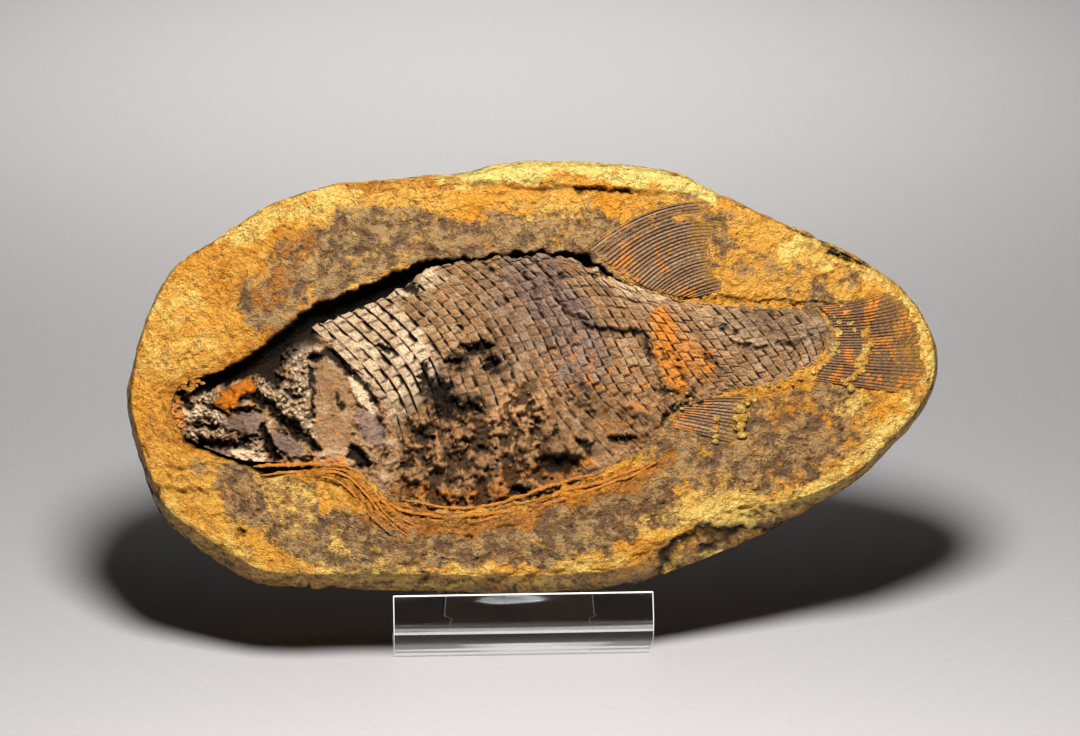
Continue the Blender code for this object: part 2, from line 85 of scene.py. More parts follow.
# Nodule, beyond the solids: shares of the rings for back, side, hollow's wall and floor, the outline's
# inset, where the broken edge bends over, the border's depth and drop, and the hollow's ragged rim
RING_SHARES = (0.24, 0.09, 0.06, 0.1)
EDGE_INSET = 0.12
SIDE_KNEE = 0.6
BORDER_DEPTH = 1.1
BORDER_DROP = 0.5
LIP_DROP = 0.35
RIM_JAGS = 0.8
RIM_NICKS = 0.55
RIM_WIDER = 0.2
WALL_TAPER = 0.012
EDGE_QUARTERS = (
    ((-80.2, -6.0, 1.6), (-79.2, 2.5, 1.4), (-77.3, 9.0, 1.2), (-74.6, 15.5, 1.0), (-70.0, 22.5, 1.0),
     (-63.5, 26.7, 1.0), (-56.5, 31.2, 1.0), (-49.0, 35.4, 1.0), (-39.0, 38.2, 1.2), (-28.0, 38.9, 1.4),
     (-14.0, 40.4, 1.6), (-5.5, 42.3, 1.8)),
    ((6.0, 42.6, 1.8), (18.0, 42.0, 1.8), (29.0, 40.2, 1.6), (33.6, 37.6, 1.4), (42.0, 33.6, 1.2),
     (50.5, 29.8, 1.2), (58.5, 26.3, 1.2), (66.0, 22.2, 1.2), (72.0, 18.0, 1.2), (76.6, 13.2, 1.4),
     (79.6, 7.0, 1.6)),
    ((80.3, 0.5, 1.8), (78.6, -5.0, 2.0), (75.0, -10.5, 2.2), (70.0, -15.6, 2.2), (64.5, -21.0, 2.4),
     (56.0, -26.2, 3.4), (47.0, -31.0, 6.0), (37.0, -35.4, 7.4), (27.0, -39.4, 6.6), (18.0, -42.0, 4.4),
     (4.0, -43.4, 4.6)),
    ((-12.0, -43.6, 4.6), (-28.0, -42.7, 4.0), (-44.0, -42.2, 3.4), (-53.5, -41.6, 3.6),
     (-61.0, -37.8, 3.6), (-68.0, -33.0, 3.4), (-74.0, -27.0, 2.6), (-77.5, -17.5, 1.8)),
)
CAVITY_QUARTERS = (
    ((-71.0, -4.5), (-67.0, -0.8), (-61.0, 1.2), (-55.0, 4.8), (-49.5, 9.0), (-44.0, 13.5), (-36.0, 16.8),
     (-28.0, 19.8), (-21.0, 22.6), (-12.0, 23.2)),
    ((-2.0, 24.4), (9.0, 24.0), (14.0, 20.9), (19.0, 17.2), (24.0, 14.2), (31.0, 13.3), (42.0, 12.8),
     (52.0, 12.2)),
    ((56.8, 8.6), (55.2, 3.0), (50.0, 0.4), (43.0, -1.9), (34.0, -4.2), (28.0, -6.9), (24.0, -11.0),
     (19.0, -16.0), (9.0, -20.9), (-1.0, -24.4)),
    ((-12.0, -26.4), (-20.0, -26.4), (-28.0, -24.6), (-33.0, -20.0), (-38.0, -17.8), (-46.0, -18.6),
     (-52.5, -20.0), (-56.5, -17.8), (-63.0, -15.2), (-68.5, -12.6)),
)

# Lines down the fish from back to belly, and its height at back, crest and belly, as in the solids
HEAD_GUIDES = 3
GUIDES = (
    ((-70.5, -4.2), (-70.8, -5.8), (-70.8, -7.4), (-70.4, -9.0), (-69.6, -10.6), (-68.6, -12.0)),
    ((-59.0, 0.0), (-60.0, -3.2), (-60.2, -6.6), (-60.0, -10.0), (-59.0, -13.2), (-58.0, -16.2)),
    ((-50.5, 3.6), (-50.0, -1.0), (-48.8, -5.6), (-47.6, -10.0), (-46.8, -14.0), (-46.4, -17.6)),
    ((-43.5, 9.5), (-37.5, 3.5), (-31.5, -3.5), (-28.4, -10.0), (-27.4, -17.2), (-28.6, -24.4)),
    ((-29.4, 15.4), (-23.2, 10.0), (-18.6, 4.0), (-15.8, -3.8), (-13.4, -13.4), (-10.6, -26.4)),
    ((-20.6, 21.0), (-13.2, 14.4), (-7.8, 7.0), (-3.8, -0.8), (0.6, -10.6), (7.0, -21.8)),
    ((-10.0, 22.8), (-3.4, 17.0), (1.6, 9.4), (5.4, 1.4), (10.8, -6.4), (20.8, -16.0)),
    ((4.2, 23.5), (10.8, 17.2), (15.6, 10.2), (19.0, 3.8), (22.4, -2.2), (27.2, -8.0)),
    ((18.6, 17.8), (22.8, 13.2), (26.6, 8.6), (29.8, 4.2), (32.8, 0.2), (36.6, -3.6)),
    ((28.6, 14.8), (32.0, 11.2), (35.2, 7.4), (38.0, 3.8), (40.6, 0.4), (43.4, -2.8)),
    ((38.0, 14.0), (40.8, 11.2), (43.5, 8.2), (46.0, 5.0), (48.3, 2.0), (50.3, -0.8)),
    ((54.6, 13.1), (56.4, 11.2), (57.7, 9.2), (58.4, 7.0), (58.4, 4.9), (57.6, 2.8)),
)
PROFILE = (
    (-3.0, -2.4, -3.2), (-5.6, -2.4, -3.0), (-5.8, -2.0, -2.8), (-4.4, -1.0, -2.6), (-3.4, -0.6, -2.6),
    (-2.6, -0.5, -2.4), (-2.2, -0.5, -2.1), (-1.8, -0.4, -1.7), (-1.5, -0.3, -1.2), (-1.3, -0.1, -0.9),
    (-1.0, 0.2, -0.7), (-0.6, 0.3, -0.4),
)
CREST_AT = 0.38
MID_LINE = 0.4
BODY_ROOT = -7.2

# Scales: rows from shoulder to tail, the size of a cell down a row, the relief of one tile, the share
# of tiles that stay, the height of rubble, and the cells and mesh rows down the fish
SCALE_ROWS = 42
CELL_LENGTH = 2.3
ROW_SHIFT = 0.44
TILE_FRONT = 0.3
TILE_RISE = 1.05
GAP_DEPTH = 1.1
JOINT_DEPTH = 0.42
KEPT_TILES = 0.965
RUBBLE_RISE = 1.25
MOST_CELLS = 64
FLANK_DOWN = 200
FACE_ACROSS = (0.0, 0.08, 0.2, 0.34, 0.48, 0.61, 0.72, 0.81, 0.88, 0.94)

# The broken edge of the upper layer of scales: everything above and behind it stands higher
LEDGE_LINE = ((2.5, 19.5), (6.5, 12.5), (10.9, 9.7), (21.4, 8.7), (22.3, 5.5), (23.8, 2.5), (25.0, -3.0))
LEDGE_RISE = 1.5
LEDGE_FADE = 14.0

# Holes in the flank: u, v, radius along, radius up, depth
FLANK_HOLES = (
    (4.6, -17.6, 4.0, 2.2, 3.6), (-3.0, -22.6, 2.4, 0.8, 2.2), (-15.6, 2.6, 1.7, 0.8, 1.8),
    (-11.2, 5.4, 3.4, 0.8, 2.2), (-8.6, 2.4, 1.6, 1.0, 2.0), (-18.4, -3.2, 1.8, 2.6, 1.6),
    (-16.8, -5.8, 2.6, 1.2, 2.4), (-12.6, -6.4, 2.4, 1.1, 2.2), (-17.6, -7.6, 2.8, 0.8, 1.8),
    (-21.6, 0.4, 0.9, 2.2, 1.6), (0.6, -9.2, 0.9, 0.9, 1.4), (4.0, -11.0, 1.2, 0.8, 1.4),
    (13.2, 19.6, 1.8, 0.7, 1.2), (-26.4, 20.8, 1.2, 0.7, 1.2), (-14.8, 9.6, 0.9, 0.5, 1.2),
    (-13.0, -12.6, 1.6, 0.8, 1.3), (-10.6, -14.6, 1.2, 0.8, 1.3), (-15.4, -15.2, 1.0, 0.8, 1.2),
    (-24.0, 16.8, 2.0, 0.8, 1.1), (-29.4, 5.4, 1.6, 0.8, 1.6), (17.0, -12.6, 3.2, 0.7, 1.6),
    (10.0, -13.4, 2.2, 0.7, 1.2), (-22.0, -12.0, 2.2, 0.7, 1.0), (-26.0, -17.6, 2.4, 0.7, 1.0),
)

# Marks: each is a path, the half width of its full part, the width of its soft edge and a strength
STONE_STAIN = (
    (((-52, 14), (-46, 21), (-40, 24.5), (-33, 27.5), (-26, 28), (-18, 26), (-8, 26), (2, 27), (10, 27.5),
     (15, 25)), 3.6, 3.4, 1.0),
    (((-48, 13), (-40, 18), (-30, 21.5), (-20, 25), (0, 26.5)), 1.6, 2.0, 0.9),
    (((14, 22), (24, 23), (34, 25)), 4.4, 3.4, 0.65),
    (((22, 31.5), (30, 33.5), (40, 30)), 1.0, 3.0, 0.4),
    (((38, 26), (44, 20), (54, 17), (60, 17)), 2.4, 3.6, 0.4),
    (((-55, -21), (-50, -25), (-45, -30), (-40, -32), (-30, -32.5), (-20, -32), (-8, -31.5), (5, -31),
     (14, -29), (22, -25)), 4.4, 3.2, 1.0),
    (((25, -14), (33, -17), (42, -16), (52, -14)), 4.6, 5.0, 0.8),
    (((44, -9), (56, -7), (62, -9)), 3.6, 4.0, 0.65),
    (((56, -17), (64, -12)), 2.0, 3.0, 0.45),
    (((57, 14), (61, 9), (61, 0), (57, -4)), 2.4, 2.4, 0.9),
    (((43, -30), (47.5, -29.6), (51, -27.8)), 0.8, 0.8, 1.0),
    (((-66, -17), (-60, -20)), 1.0, 2.0, 0.4),
)
STONE_RUST = (
    (((-61, 18), (-55, 22), (-50, 24.5), (-46, 27)), 2.4, 4.2, 0.48),
    (((-53, 15), (-49, 19)), 1.4, 3.0, 0.6),
    (((-71, -2), (-66, 0.4), (-62, 2), (-57, 4.8), (-50, 9.2), (-45, 13.6)), 0.5, 1.0, 0.9),
    (((-38, 36.4), (-25, 37.2), (-10, 37.4), (2, 36.8)), 0.3, 0.8, 0.9),
    (((-72, -3), (-70, -8), (-68, -12)), 1.2, 1.8, 0.8),
    (((-32, -24.5), (-22, -27.8), (-12, -28.8), (-4, -27.4), (4, -24.8), (12, -22.4), (20, -19.8),
     (26, -15.8)), 1.4, 1.6, 1.0),
    (((73, 0), (77, -4)), 1.6, 2.0, 0.8),
    (((-44, -19), (-36.4, -21.4), (-32, -26), (-26.4, -30.6)), 1.2, 1.6, 0.85),
    (((-78, -12), (-70, -16)), 1.6, 4.0, 0.35),
    (((30, -33), (40, -30)), 1.0, 2.0, 0.3),
    (((54, 24), (62, 20)), 1.2, 3.0, 0.35),
)
# Cream crust, and painted highlight along the rims of the face where its edges catch the light
STONE_CREAM_AND_HIGHLIGHT = (
    (((-16, 39.4), (0, 41), (15, 41.2), (29, 39.4), (34, 36)), 2.4, 2.0, 1.0),
    (((-62, 27), (-48, 32.5), (-36, 35.5)), 1.8, 3.0, 0.6),
    (((-76, 6), (-68, 14), (-66, 4)), 3.0, 5.0, 0.45),
    (((-52, -20), (-48, -23.5), (-46, -27)), 2.8, 2.4, 0.5),
    (((-39, -31), (-36, -34)), 0.8, 1.4, 0.5),
    (((-20, -34), (-18, -34.4)), 0.6, 1.0, 0.5),
    (((-76, -20), (-66, -32), (-52, -38.5), (-30, -39.6), (0, -39.8), (16, -38)), 1.2, 2.4, 0.5),
    (((26, -38), (30, -36.6), (40, -33.6)), 0.5, 1.2, 0.6),
    (((79, 1), (72, -10), (64, -17.5), (56, -23), (44, -26.8), (33, -27.6)), 1.6, 3.0, 0.7),
    (((50, 25.5), (60, 23), (70, 17), (78, 8)), 1.6, 3.0, 0.6),
    (((22, -30), (32, -25), (40, -25.4)), 1.4, 3.4, 0.6),
    (((66, -3), (60, -7), (67, -12)), 0.8, 2.6, 0.6),
    (((-44, 30), (-42, 31.4)), 0.6, 1.2, 0.5),
    (((-2, 32), (10, 33)), 1.5, 3.0, 0.35),
)
# Cracks and small pits of the stone's face: a path, its half width and its depth
STONE_CRACKS = (
    (((-12, 37.6), (-4, 36.8), (4, 37.3)), 0.35, 0.7),
    (((8, 36.6), (13, 36.2), (18.5, 35.5)), 0.5, 1.2),
    (((20, 34.8), (26, 34.2)), 0.3, 0.6),
    (((50, 28.4), (55, 27.0), (58.4, 25.2)), 0.4, 0.9),
    (((58, 24.6), (62, 23.2), (65.6, 21.6)), 0.8, 1.6),
    (((-75.5, -21.6), (-70, -23.2), (-61, -22.4)), 0.7, 0.45),
    (((27.4, 39.6), (28.8, 39.2)), 0.7, 1.4),
    (((-58.2, -31), (-56.8, -30.6)), 0.7, 1.2),
    (((-59.4, 14.6), (-57, 15.4)), 0.5, 0.6),
    (((43, -31.2), (47, -30.6), (51, -28.8)), 0.5, 1.4),
    (((25.4, -37.4), (28.0, -33.2), (32.5, -30.8), (37, -31.6), (40.5, -30.4)), 1.2, 2.2),
    (((33, -34), (38, -33.4)), 0.8, 1.4),
    (((-2, 31.0), (6, 31.6), (13, 30.4)), 0.2, 0.4),
    (((-46, 22), (-43, 18.6)), 0.3, 0.6),
    (((-38, 26.2), (-33, 24.8)), 0.4, 0.7),
    (((-52, -27.6), (-47, -31), (-44, -33.6)), 0.25, 0.5),
    (((40, 22.6), (47, 20.8), (50, 18.8)), 0.25, 0.5),
    (((22, 16.3), (26, 15.2), (38, 14.5), (50, 14.1), (58, 13.7)), 0.3, 0.8),
    (((60, -8), (66, -10.4)), 0.3, 0.5),
    (((53, -1.4), (47, -3.2), (44, -4.6)), 0.25, 0.6),
    (((-40, -18.4), (-35.4, -20.6), (-32.4, -24.4), (-28.4, -28.2), (-25.4, -30.6)), 0.22, 0.8),
    (((-43, -19.4), (-37.4, -21.2), (-34.2, -25.0), (-30.4, -29.2), (-27.6, -31.8)), 0.22, 0.8),
    (((-30.5, -24.6), (-24, -26.9), (-15, -28.0), (-6, -27.0), (3, -24.0)), 0.2, 0.8),
    (((-27, 31), (-22, 30.2)), 0.25, 0.4),
)
FLANK_PALE = (
    (((-43, 10.5), (-37, 7), (-32, 1), (-30, -5)), 4.0, 3.6, 0.95),
    (((-28, 11), (-24.6, 8), (-23.4, 5)), 2.0, 1.2, 1.0),
    (((-35, 14), (-27, 17), (-20, 19.6)), 1.5, 1.6, 0.8),
    (((-37, 12), (-30, 8), (-24, 2)), 3.6, 3.0, 1.0),
    (((12, 19.6), (18, 17), (24, 14.8)), 0.9, 1.0, 0.7),
    (((23.2, 9.6), (24.2, 10.6)), 0.7, 0.6, 1.0),
    (((-26, 2), (-24, -4)), 1.0, 2.0, 0.5),
    (((38, 9), (46, 8), (54, 9)), 1.5, 2.0, 0.25),
)
FLANK_RUST = (
    (((24.4, 10.4), (25.4, 6.5), (26.4, 2), (28.0, -1.6)), 1.3, 1.9, 1.0),
    (((28, 6), (33, 1)), 1.2, 3.6, 0.65),
    (((14, -9), (22, -13)), 1.0, 2.0, 0.4),
    (((6, 2), (14, -3), (22, -5)), 2.5, 5.0, 0.25),
    (((-6, -20), (4, -19.4), (10, -17)), 0.6, 1.6, 0.6),
    (((-26, -22), (-16, -24.4), (-6, -22.6)), 0.8, 1.4, 0.7),
)
FLANK_MAUVE = (
    (((-1, 20), (5, 12), (9, 4)), 3.6, 4.0, 1.0),
    (((-6, 16), (-1, 6)), 3.0, 4.0, 0.5),
    (((-24, 2), (-19, -2)), 2.0, 3.0, 0.8),
    (((40, 10), (54, 9)), 3.0, 4.0, 0.25),
)
# Pits, cracks and dark hollows of the flank: sunk, and painted black as shade
FLANK_PIT_SHADE = (
    (((-20, -3), (-16, -7), (-12, -6.6)), 2.2, 1.6, 0.95),
    (((-15, 2.6), (-10, 5.4), (-8, 2)), 1.2, 1.5, 0.9),
    (((-30, -12), (-24, -18), (-10, -19), (0, -16)), 5.0, 5.0, 0.5),
    (((-28, 18.5), (-24, 20)), 1.0, 1.2, 0.6),
    (((52, -0.4), (57, 2)), 0.6, 1.2, 0.8),
    (((38.5, 6.6), (41, 5.4), (45, 5.2)), 0.25, 0.6, 0.9),
    (((47, 5.6), (50, 6), (53, 7), (56, 7.7)), 0.25, 0.6, 0.9),
    (((35.4, 10.2), (39, 8.4)), 0.3, 0.6, 0.8),
    (((33.6, 3.4), (37, 0.8)), 0.25, 0.5, 0.7),
    (((44, 11.4), (56, 10.4)), 2.6, 3.0, 0.4),
    (((25.2, 4.6), (25.4, 3.4)), 0.3, 0.5, 0.9),
    (((27.2, 3.6), (28, 2.6)), 0.2, 0.4, 0.8),
    (((10, -4), (16, -8), (22, -9)), 0.8, 1.6, 0.6),
    (((24, -3), (31, -4.5)), 0.4, 1.0, 0.8),
    (((6, -4), (12, -8)), 0.4, 1.0, 0.8),
    (((8, -1), (10, -3)), 0.3, 0.6, 0.8),
    (((27, 1), (30, -1)), 0.2, 0.6, 0.8),
    (((24, -10.5), (29, -6)), 0.6, 0.8, 1.0),
    (((-1, -19), (3, -18.6), (7, -16), (11, -15.5)), 0.4, 0.9, 0.9),
    (((2.6, 18.6), (5.8, 19.4)), 0.3, 0.5, 0.8),
    (((-2.4, 20.2), (0.6, 16)), 0.2, 0.5, 0.8),
    (((-10, 21.4), (-6.8, 18.8)), 0.2, 0.5, 0.8),
    (((-9.6, 10.2), (-4.5, 0.8)), 0.15, 0.5, 0.6),
    (((8, 12.2), (10.2, 10)), 0.2, 0.5, 0.8),
    (((-25, -11), (-13, -11)), 0.3, 0.8, 0.6),
    (((-20, -15.6), (-3, -15.4)), 0.3, 0.9, 0.6),
    (((15, -12), (24, -13)), 0.5, 0.8, 0.9),
)

# Head: hollows are paths with a half width, a soft edge and a depth, raised bones and plates have a
# height in the depth's place, and the rest are marks
HEAD_HOLLOWS = (
    (((-66, -1.4), (-60, 0.8), (-56, 2.4), (-51.8, 3.2)), 2.0, 0.7, 3.6),
    (((-54, 1.6), (-51.6, 0.4), (-50.6, -1.2)), 0.9, 0.7, 3.0),
    (((-48.4, 7.2), (-43, 11)), 1.3, 0.8, 2.4),
    (((-43.6, 3.4), (-40.8, 4.4), (-38, 3.2), (-36.4, 0.8)), 0.55, 0.7, 2.2),
    (((-36.2, 1.6), (-33.4, -1.6), (-31, -5.2)), 0.3, 0.5, 1.4),
    (((-52.5, -4.9), (-50.6, -7.2), (-49.6, -9)), 0.5, 0.7, 2.4),
    (((-49.4, -8.4), (-47, -9.4), (-46.6, -11)), 0.9, 0.6, 2.8),
    (((-53.2, -10.2), (-52.2, -13), (-50.6, -15.6)), 0.55, 0.6, 2.2),
    (((-65, -12.6), (-61, -13.8), (-57, -13.1)), 0.6, 0.5, 2.2),
    (((-57.5, -12.4), (-54.4, -11.8)), 0.25, 0.4, 1.2),
    (((-46.8, -11.4), (-44.4, -12.6), (-42, -14.6)), 0.4, 0.6, 1.6),
    (((-35.4, -15), (-33.4, -17)), 1.1, 0.5, 2.4),
    (((-69, -12.8), (-66.4, -13.8)), 0.5, 0.5, 1.4),
    (((-54.4, -18.2), (-49, -18.9), (-44, -18.2)), 0.35, 0.4, 1.4),
    (((-62, -5.9), (-58.4, -6.8), (-55, -6.4)), 0.35, 0.4, 1.6),
    (((-66.4, -9.6), (-62, -10.1)), 0.25, 0.4, 1.2),
    (((-68.6, -4.4), (-67.4, -5.8)), 0.5, 0.5, 1.4),
    (((-48.6, -3.0), (-46.4, -4.6)), 0.35, 0.5, 1.4),
    (((-38.8, -3.4), (-37.6, -6.4)), 0.15, 0.5, 0.9),
    (((-43.8, 1.0), (-43.2, -4), (-43.8, -8.4)), 0.2, 0.5, 1.0),
    (((-54.6, -3.2), (-53.4, -6.0)), 0.5, 0.6, 1.8),
    (((-64.4, -5.2), (-62.8, -6.2)), 0.3, 0.4, 1.0),
)
HEAD_RIDGES = (
    (((-49.6, 3.6), (-47, 5.0), (-43, 5.2), (-39, 4.2), (-35.4, 1.6), (-32.2, -2.4), (-30.0, -7)), 0.6,
     0.5, 1.0),
    (((-68, -6.9), (-65, -6.6), (-62.4, -7.4), (-60, -9.2)), 0.8, 0.6, 1.0),
    (((-67.4, -13.9), (-63, -14.7), (-57.6, -16.6), (-52, -17.1)), 0.4, 0.5, 0.8),
    (((-61, -6.4), (-55.4, -5.8)), 0.3, 0.4, 0.6),
    (((-66, -10.8), (-63, -12.0)), 0.5, 0.5, 0.7),
    (((-58.4, -15), (-53.4, -16.2)), 0.6, 0.5, 0.8),
    (((-48, -15.6), (-43, -14.8), (-38.6, -15.6)), 0.4, 0.6, 0.5),
    (((-41.8, -12.6), (-39.8, -6.4), (-40.6, -1)), 0.5, 1.4, 0.4),
)
HEAD_PLATES = (
    (((-60.4, -8.4), (-55.4, -9.2), (-54.4, -10.4)), 1.6, 0.4, 0.7),
    (((-50, -12.4), (-47.4, -14.2)), 1.4, 0.5, 0.6),
    (((-40.4, -1.6), (-39.4, -5), (-39.6, -11.5)), 3.2, 0.8, 0.6),
    (((-34.8, -1.4), (-33.2, -4.4)), 1.3, 0.3, 0.8),
    (((-33.0, -4.6), (-31.6, -6.6)), 0.8, 0.3, 0.8),
    (((-32.6, -9), (-31.0, -12)), 1.4, 0.5, 0.4),
    (((-41, -16.4), (-36, -16.2)), 1.6, 0.5, 0.5),
)
HEAD_GRAINS = (
    (((-51.6, -2.6), (-47.6, -5.0), (-45.6, -8.8)), 2.2, 0.9, 1.0),
    (((-47.2, 3.6), (-45.4, 1), (-45.6, -3)), 1.7, 0.9, 1.0),
    (((-49.0, 4.0), (-45.4, 5.2)), 1.0, 0.6, 1.0),
    (((-66, -7.4), (-61.8, -8.6)), 1.0, 0.7, 0.9),
    (((-66.6, -11), (-63.6, -12.4)), 0.9, 0.7, 0.9),
    (((-67, -2.8), (-63.8, -4.6)), 1.3, 0.8, 0.9),
    (((-55.4, -13.4), (-53.8, -14.6)), 0.6, 0.6, 0.8),
    (((-44.6, -10.4), (-43.6, -12.4)), 0.8, 0.6, 0.8),
)
HEAD_ACROSS = 210
HEAD_DOWN = 150
LUMP_REACH = 2.0
LUMP_RISE = 1.9
ORANGE_LUMP = ((-60.6, -4.5), (-58.2, -3.3), (-56.0, -1.9))
HEAD_PALE = (
    (((-34.8, -1.4), (-33.2, -4.4)), 1.4, 0.3, 1.0),
    (((-33.0, -4.6), (-31.6, -6.6)), 0.9, 0.3, 1.0),
    (((-49.6, 3.6), (-47, 5.0), (-43, 5.2), (-39, 4.2), (-35.4, 1.6), (-32.2, -2.4)), 0.6, 0.6, 0.7),
    (((-68, -6.9), (-65, -6.8), (-62.4, -7.8)), 1.0, 0.6, 1.0),
    (((-66.6, -11), (-63.6, -12.4)), 0.7, 0.8, 0.8),
    (((-51.6, -2.6), (-47.6, -5), (-45.6, -8.8)), 1.8, 1.0, 0.55),
    (((-47.2, 3.6), (-45.4, 1), (-45.6, -3)), 1.4, 0.8, 0.55),
    (((-58.4, -15), (-53.4, -16.2)), 0.8, 0.5, 1.0),
    (((-41, -16.4), (-36, -16.2)), 1.2, 1.4, 0.5),
    (((-48.6, 3.8), (-45.4, 5.0)), 0.9, 0.6, 1.0),
)
HEAD_RUST = (
    (((-70.4, -4.6), (-69.2, -8.4)), 1.3, 1.0, 0.55),
    (((-60.6, -6.2), (-55.6, -5.6)), 0.25, 0.4, 0.9),
    (((-53.6, -17.6), (-46, -17.4), (-38, -17.0)), 0.4, 0.7, 0.8),
    (((-42, -17), (-37, -17.6)), 1.0, 1.4, 0.5),
)
HEAD_GREY = (
    (((-60.4, -8.4), (-55.4, -9.2), (-54.4, -11)), 1.9, 0.7, 1.0),
    (((-62, -14.6), (-57.6, -15.6)), 0.8, 0.8, 0.8),
    (((-50, -12.4), (-47.4, -14.4)), 1.6, 0.9, 1.0),
    (((-33, -8.6), (-31, -12)), 1.6, 0.9, 1.0),
    (((-56.6, -5.4), (-54.6, -8)), 1.0, 0.8, 0.9),
)

# Fins: roots, tips, number of rays, sideways bow, rise over the face, height of a ray, depth at the
# root, length of a ray's segment, the share of a ray that is rusty, how far the rays reach towards the
# tips, and how tan they are
FINS = {
    "dorsal_fin": {
        "roots": ((10.4, 24.8), (14.0, 22.0), (18.0, 19.3), (22.0, 17.1), (26.0, 15.8), (31.0, 15.0)),
        "tips": ((38.0, 31.8), (35.8, 28.8), (34.6, 25.6), (34.4, 22.4), (35.4, 19.4), (38.5, 16.8)),
        "rays": 29, "bow": 4.2, "rise": 0.5, "ridge": 0.7, "root_depth": -0.5, "segment": 1.5,
        "rust_to": 0.5, "reach": 1.14, "tan": 0.35,
    },
    "anal_fin": {
        "roots": ((30.5, -5.0), (28.8, -6.4), (27.2, -8.0), (25.4, -10.0)),
        "tips": ((43.5, -4.8), (43.0, -8.0), (41.8, -11.0), (40.0, -13.8)),
        "rays": 13, "bow": 0.6, "rise": 0.5, "ridge": 0.55, "root_depth": -1.0, "segment": 1.6,
        "rust_to": 0.6, "reach": 1.1, "tan": 0.6,
    },
    "tail_fin": {
        "roots": ((55.5, 13.4), (58.0, 10.8), (58.8, 7.6), (58.4, 4.6), (57.0, 1.6), (54.6, -1.2)),
        "tips": ((70.4, 17.0), (73.8, 13.4), (76.2, 9.2), (77.4, 4.8), (77.4, 0.2), (75.6, -4.4)),
        "rays": 30, "bow": -0.8, "rise": 0.5, "ridge": 0.5, "root_depth": -0.2, "segment": 1.3,
        "rust_to": 1.3, "reach": 1.0, "tan": 0.0,
    },
}
TIP_SINK = 0.5
FIN_ROOT = -3.6
FIN_BORDER = 2.2
FIN_BED = 0.9
RAY_COLUMNS = 6
FIN_DOWN = 70

# Bones and the rust rim along the belly: path, half thickness, height over the face
BONES = {
    "belly_rim": (((-29.0, -24.8), (-24.0, -26.6), (-16.0, -27.5), (-8.0, -26.9), (-1.0, -25.1),
                   (6.0, -22.5), (14.0, -20.4), (23.0, -17.2)), 0.5, -0.18),
    "belly_rim_outer": (((-31.0, -25.6), (-24.0, -27.9), (-14.0, -28.7), (-5.0, -27.3), (3.0, -25.0),
                         (12.0, -22.0), (20.0, -19.2), (26.0, -15.4)), 0.36, -0.22),
    "belly_rim_inner": (((-26.0, -24.2), (-19.0, -25.6), (-10.0, -25.6), (-3.0, -23.8), (4.0, -21.4),
                         (11.0, -19.4), (19.0, -16.6)), 0.36, -0.85),
    "fin_spine_low": (((-44.0, -18.6), (-38.0, -19.2), (-34.0, -22.0), (-31.0, -26.0), (-28.0, -28.8),
                       (-24.6, -31.4)), 0.27, 0.0),
    "fin_spine_middle": (((-42.0, -18.0), (-36.4, -19.0), (-33.0, -22.0), (-30.2, -25.8), (-27.2, -28.4),
                          (-24.2, -30.4)), 0.22, 0.05),
    "fin_spine_high": (((-40.0, -17.4), (-35.0, -18.4), (-32.0, -21.8), (-29.4, -25.0), (-26.0, -27.6),
                        (-23.4, -29.2)), 0.27, 0.0),
    "fin_spine_outer": (((-46.0, -19.2), (-40.0, -20.0), (-36.0, -22.6), (-33.0, -26.4), (-29.6, -29.6),
                         (-27.0, -31.4)), 0.2, -0.05),
    "jaw_bone": (((-55.0, -17.7), (-50.0, -17.5), (-43.0, -17.2), (-37.0, -17.9)), 0.36, -0.2),
    "jaw_bone_low": (((-54.0, -19.6), (-48.0, -18.8), (-42.0, -18.4), (-38.0, -18.8)), 0.26, -0.25),
}

# Small tan crusts: the line they lie along, how far they stray, how many and how large
BEADS = (
    (((12.0, 19.6), (16.0, 17.7), (20.0, 16.2), (24.5, 14.9)), 0.4, 18, 0.62),
    (((64.6, 8.4), (65.0, 5.0), (64.2, 2.2), (62.6, 0.0), (61.0, -2.4)), 0.5, 34, 0.75),
    (((35.4, -8.0), (35.2, -12.6)), 0.3, 9, 0.6),
    (((40.3, -7.0), (39.8, -12.2)), 0.4, 14, 0.8),
    (((59.4, 8.6), (58.6, 5.0), (56.4, 1.6), (51.0, -0.8), (45.6, -2.6)), 0.3, 30, 0.55),
    (((41.2, -5.6), (43.0, -4.6)), 0.3, 5, 0.5),
    (((58.6, 12.6), (61.4, 9.4)), 0.9, 9, 0.45),
    (((-71.0, -4.4), (-68.4, -2.2), (-66.0, -1.2)), 0.6, 18, 0.6),
    (((30.5, -2.6), (28.0, -5.6)), 0.8, 8, 0.45),
)

# Easel and stage: the bevel of its edges, where the lights hang, in metres, and the camera
EASEL_EDGE = 0.00032
ACRYLIC_IOR = 1.49
KEY_PLACE = (-0.004, -0.23, 0.33)
KEY_SPREAD = 180
BACK_PLACE = (0.0, 0.42, 1.1)
BACK_AIM = (0.0, 0.42, 0.0)
BACK_SIZE = 0.3
BACK_SPREAD = 33
IMAGE_WIDTH = 1080
PIXELS_PER_MM = 5.125
CAMERA_DISTANCE = 0.95
CAMERA_AZIMUTH = -2.5
CAMERA_ELEVATION = 20.0
AIM = (0.98, 1.37)


# ---------------------------------------------------------------- sizes and colours a user may change

def colour(name, description, value):
    return bpy.props.FloatVectorProperty(name=name, description=description, subtype="COLOR", size=3,
                                         min=0.0, max=1.0, default=value)


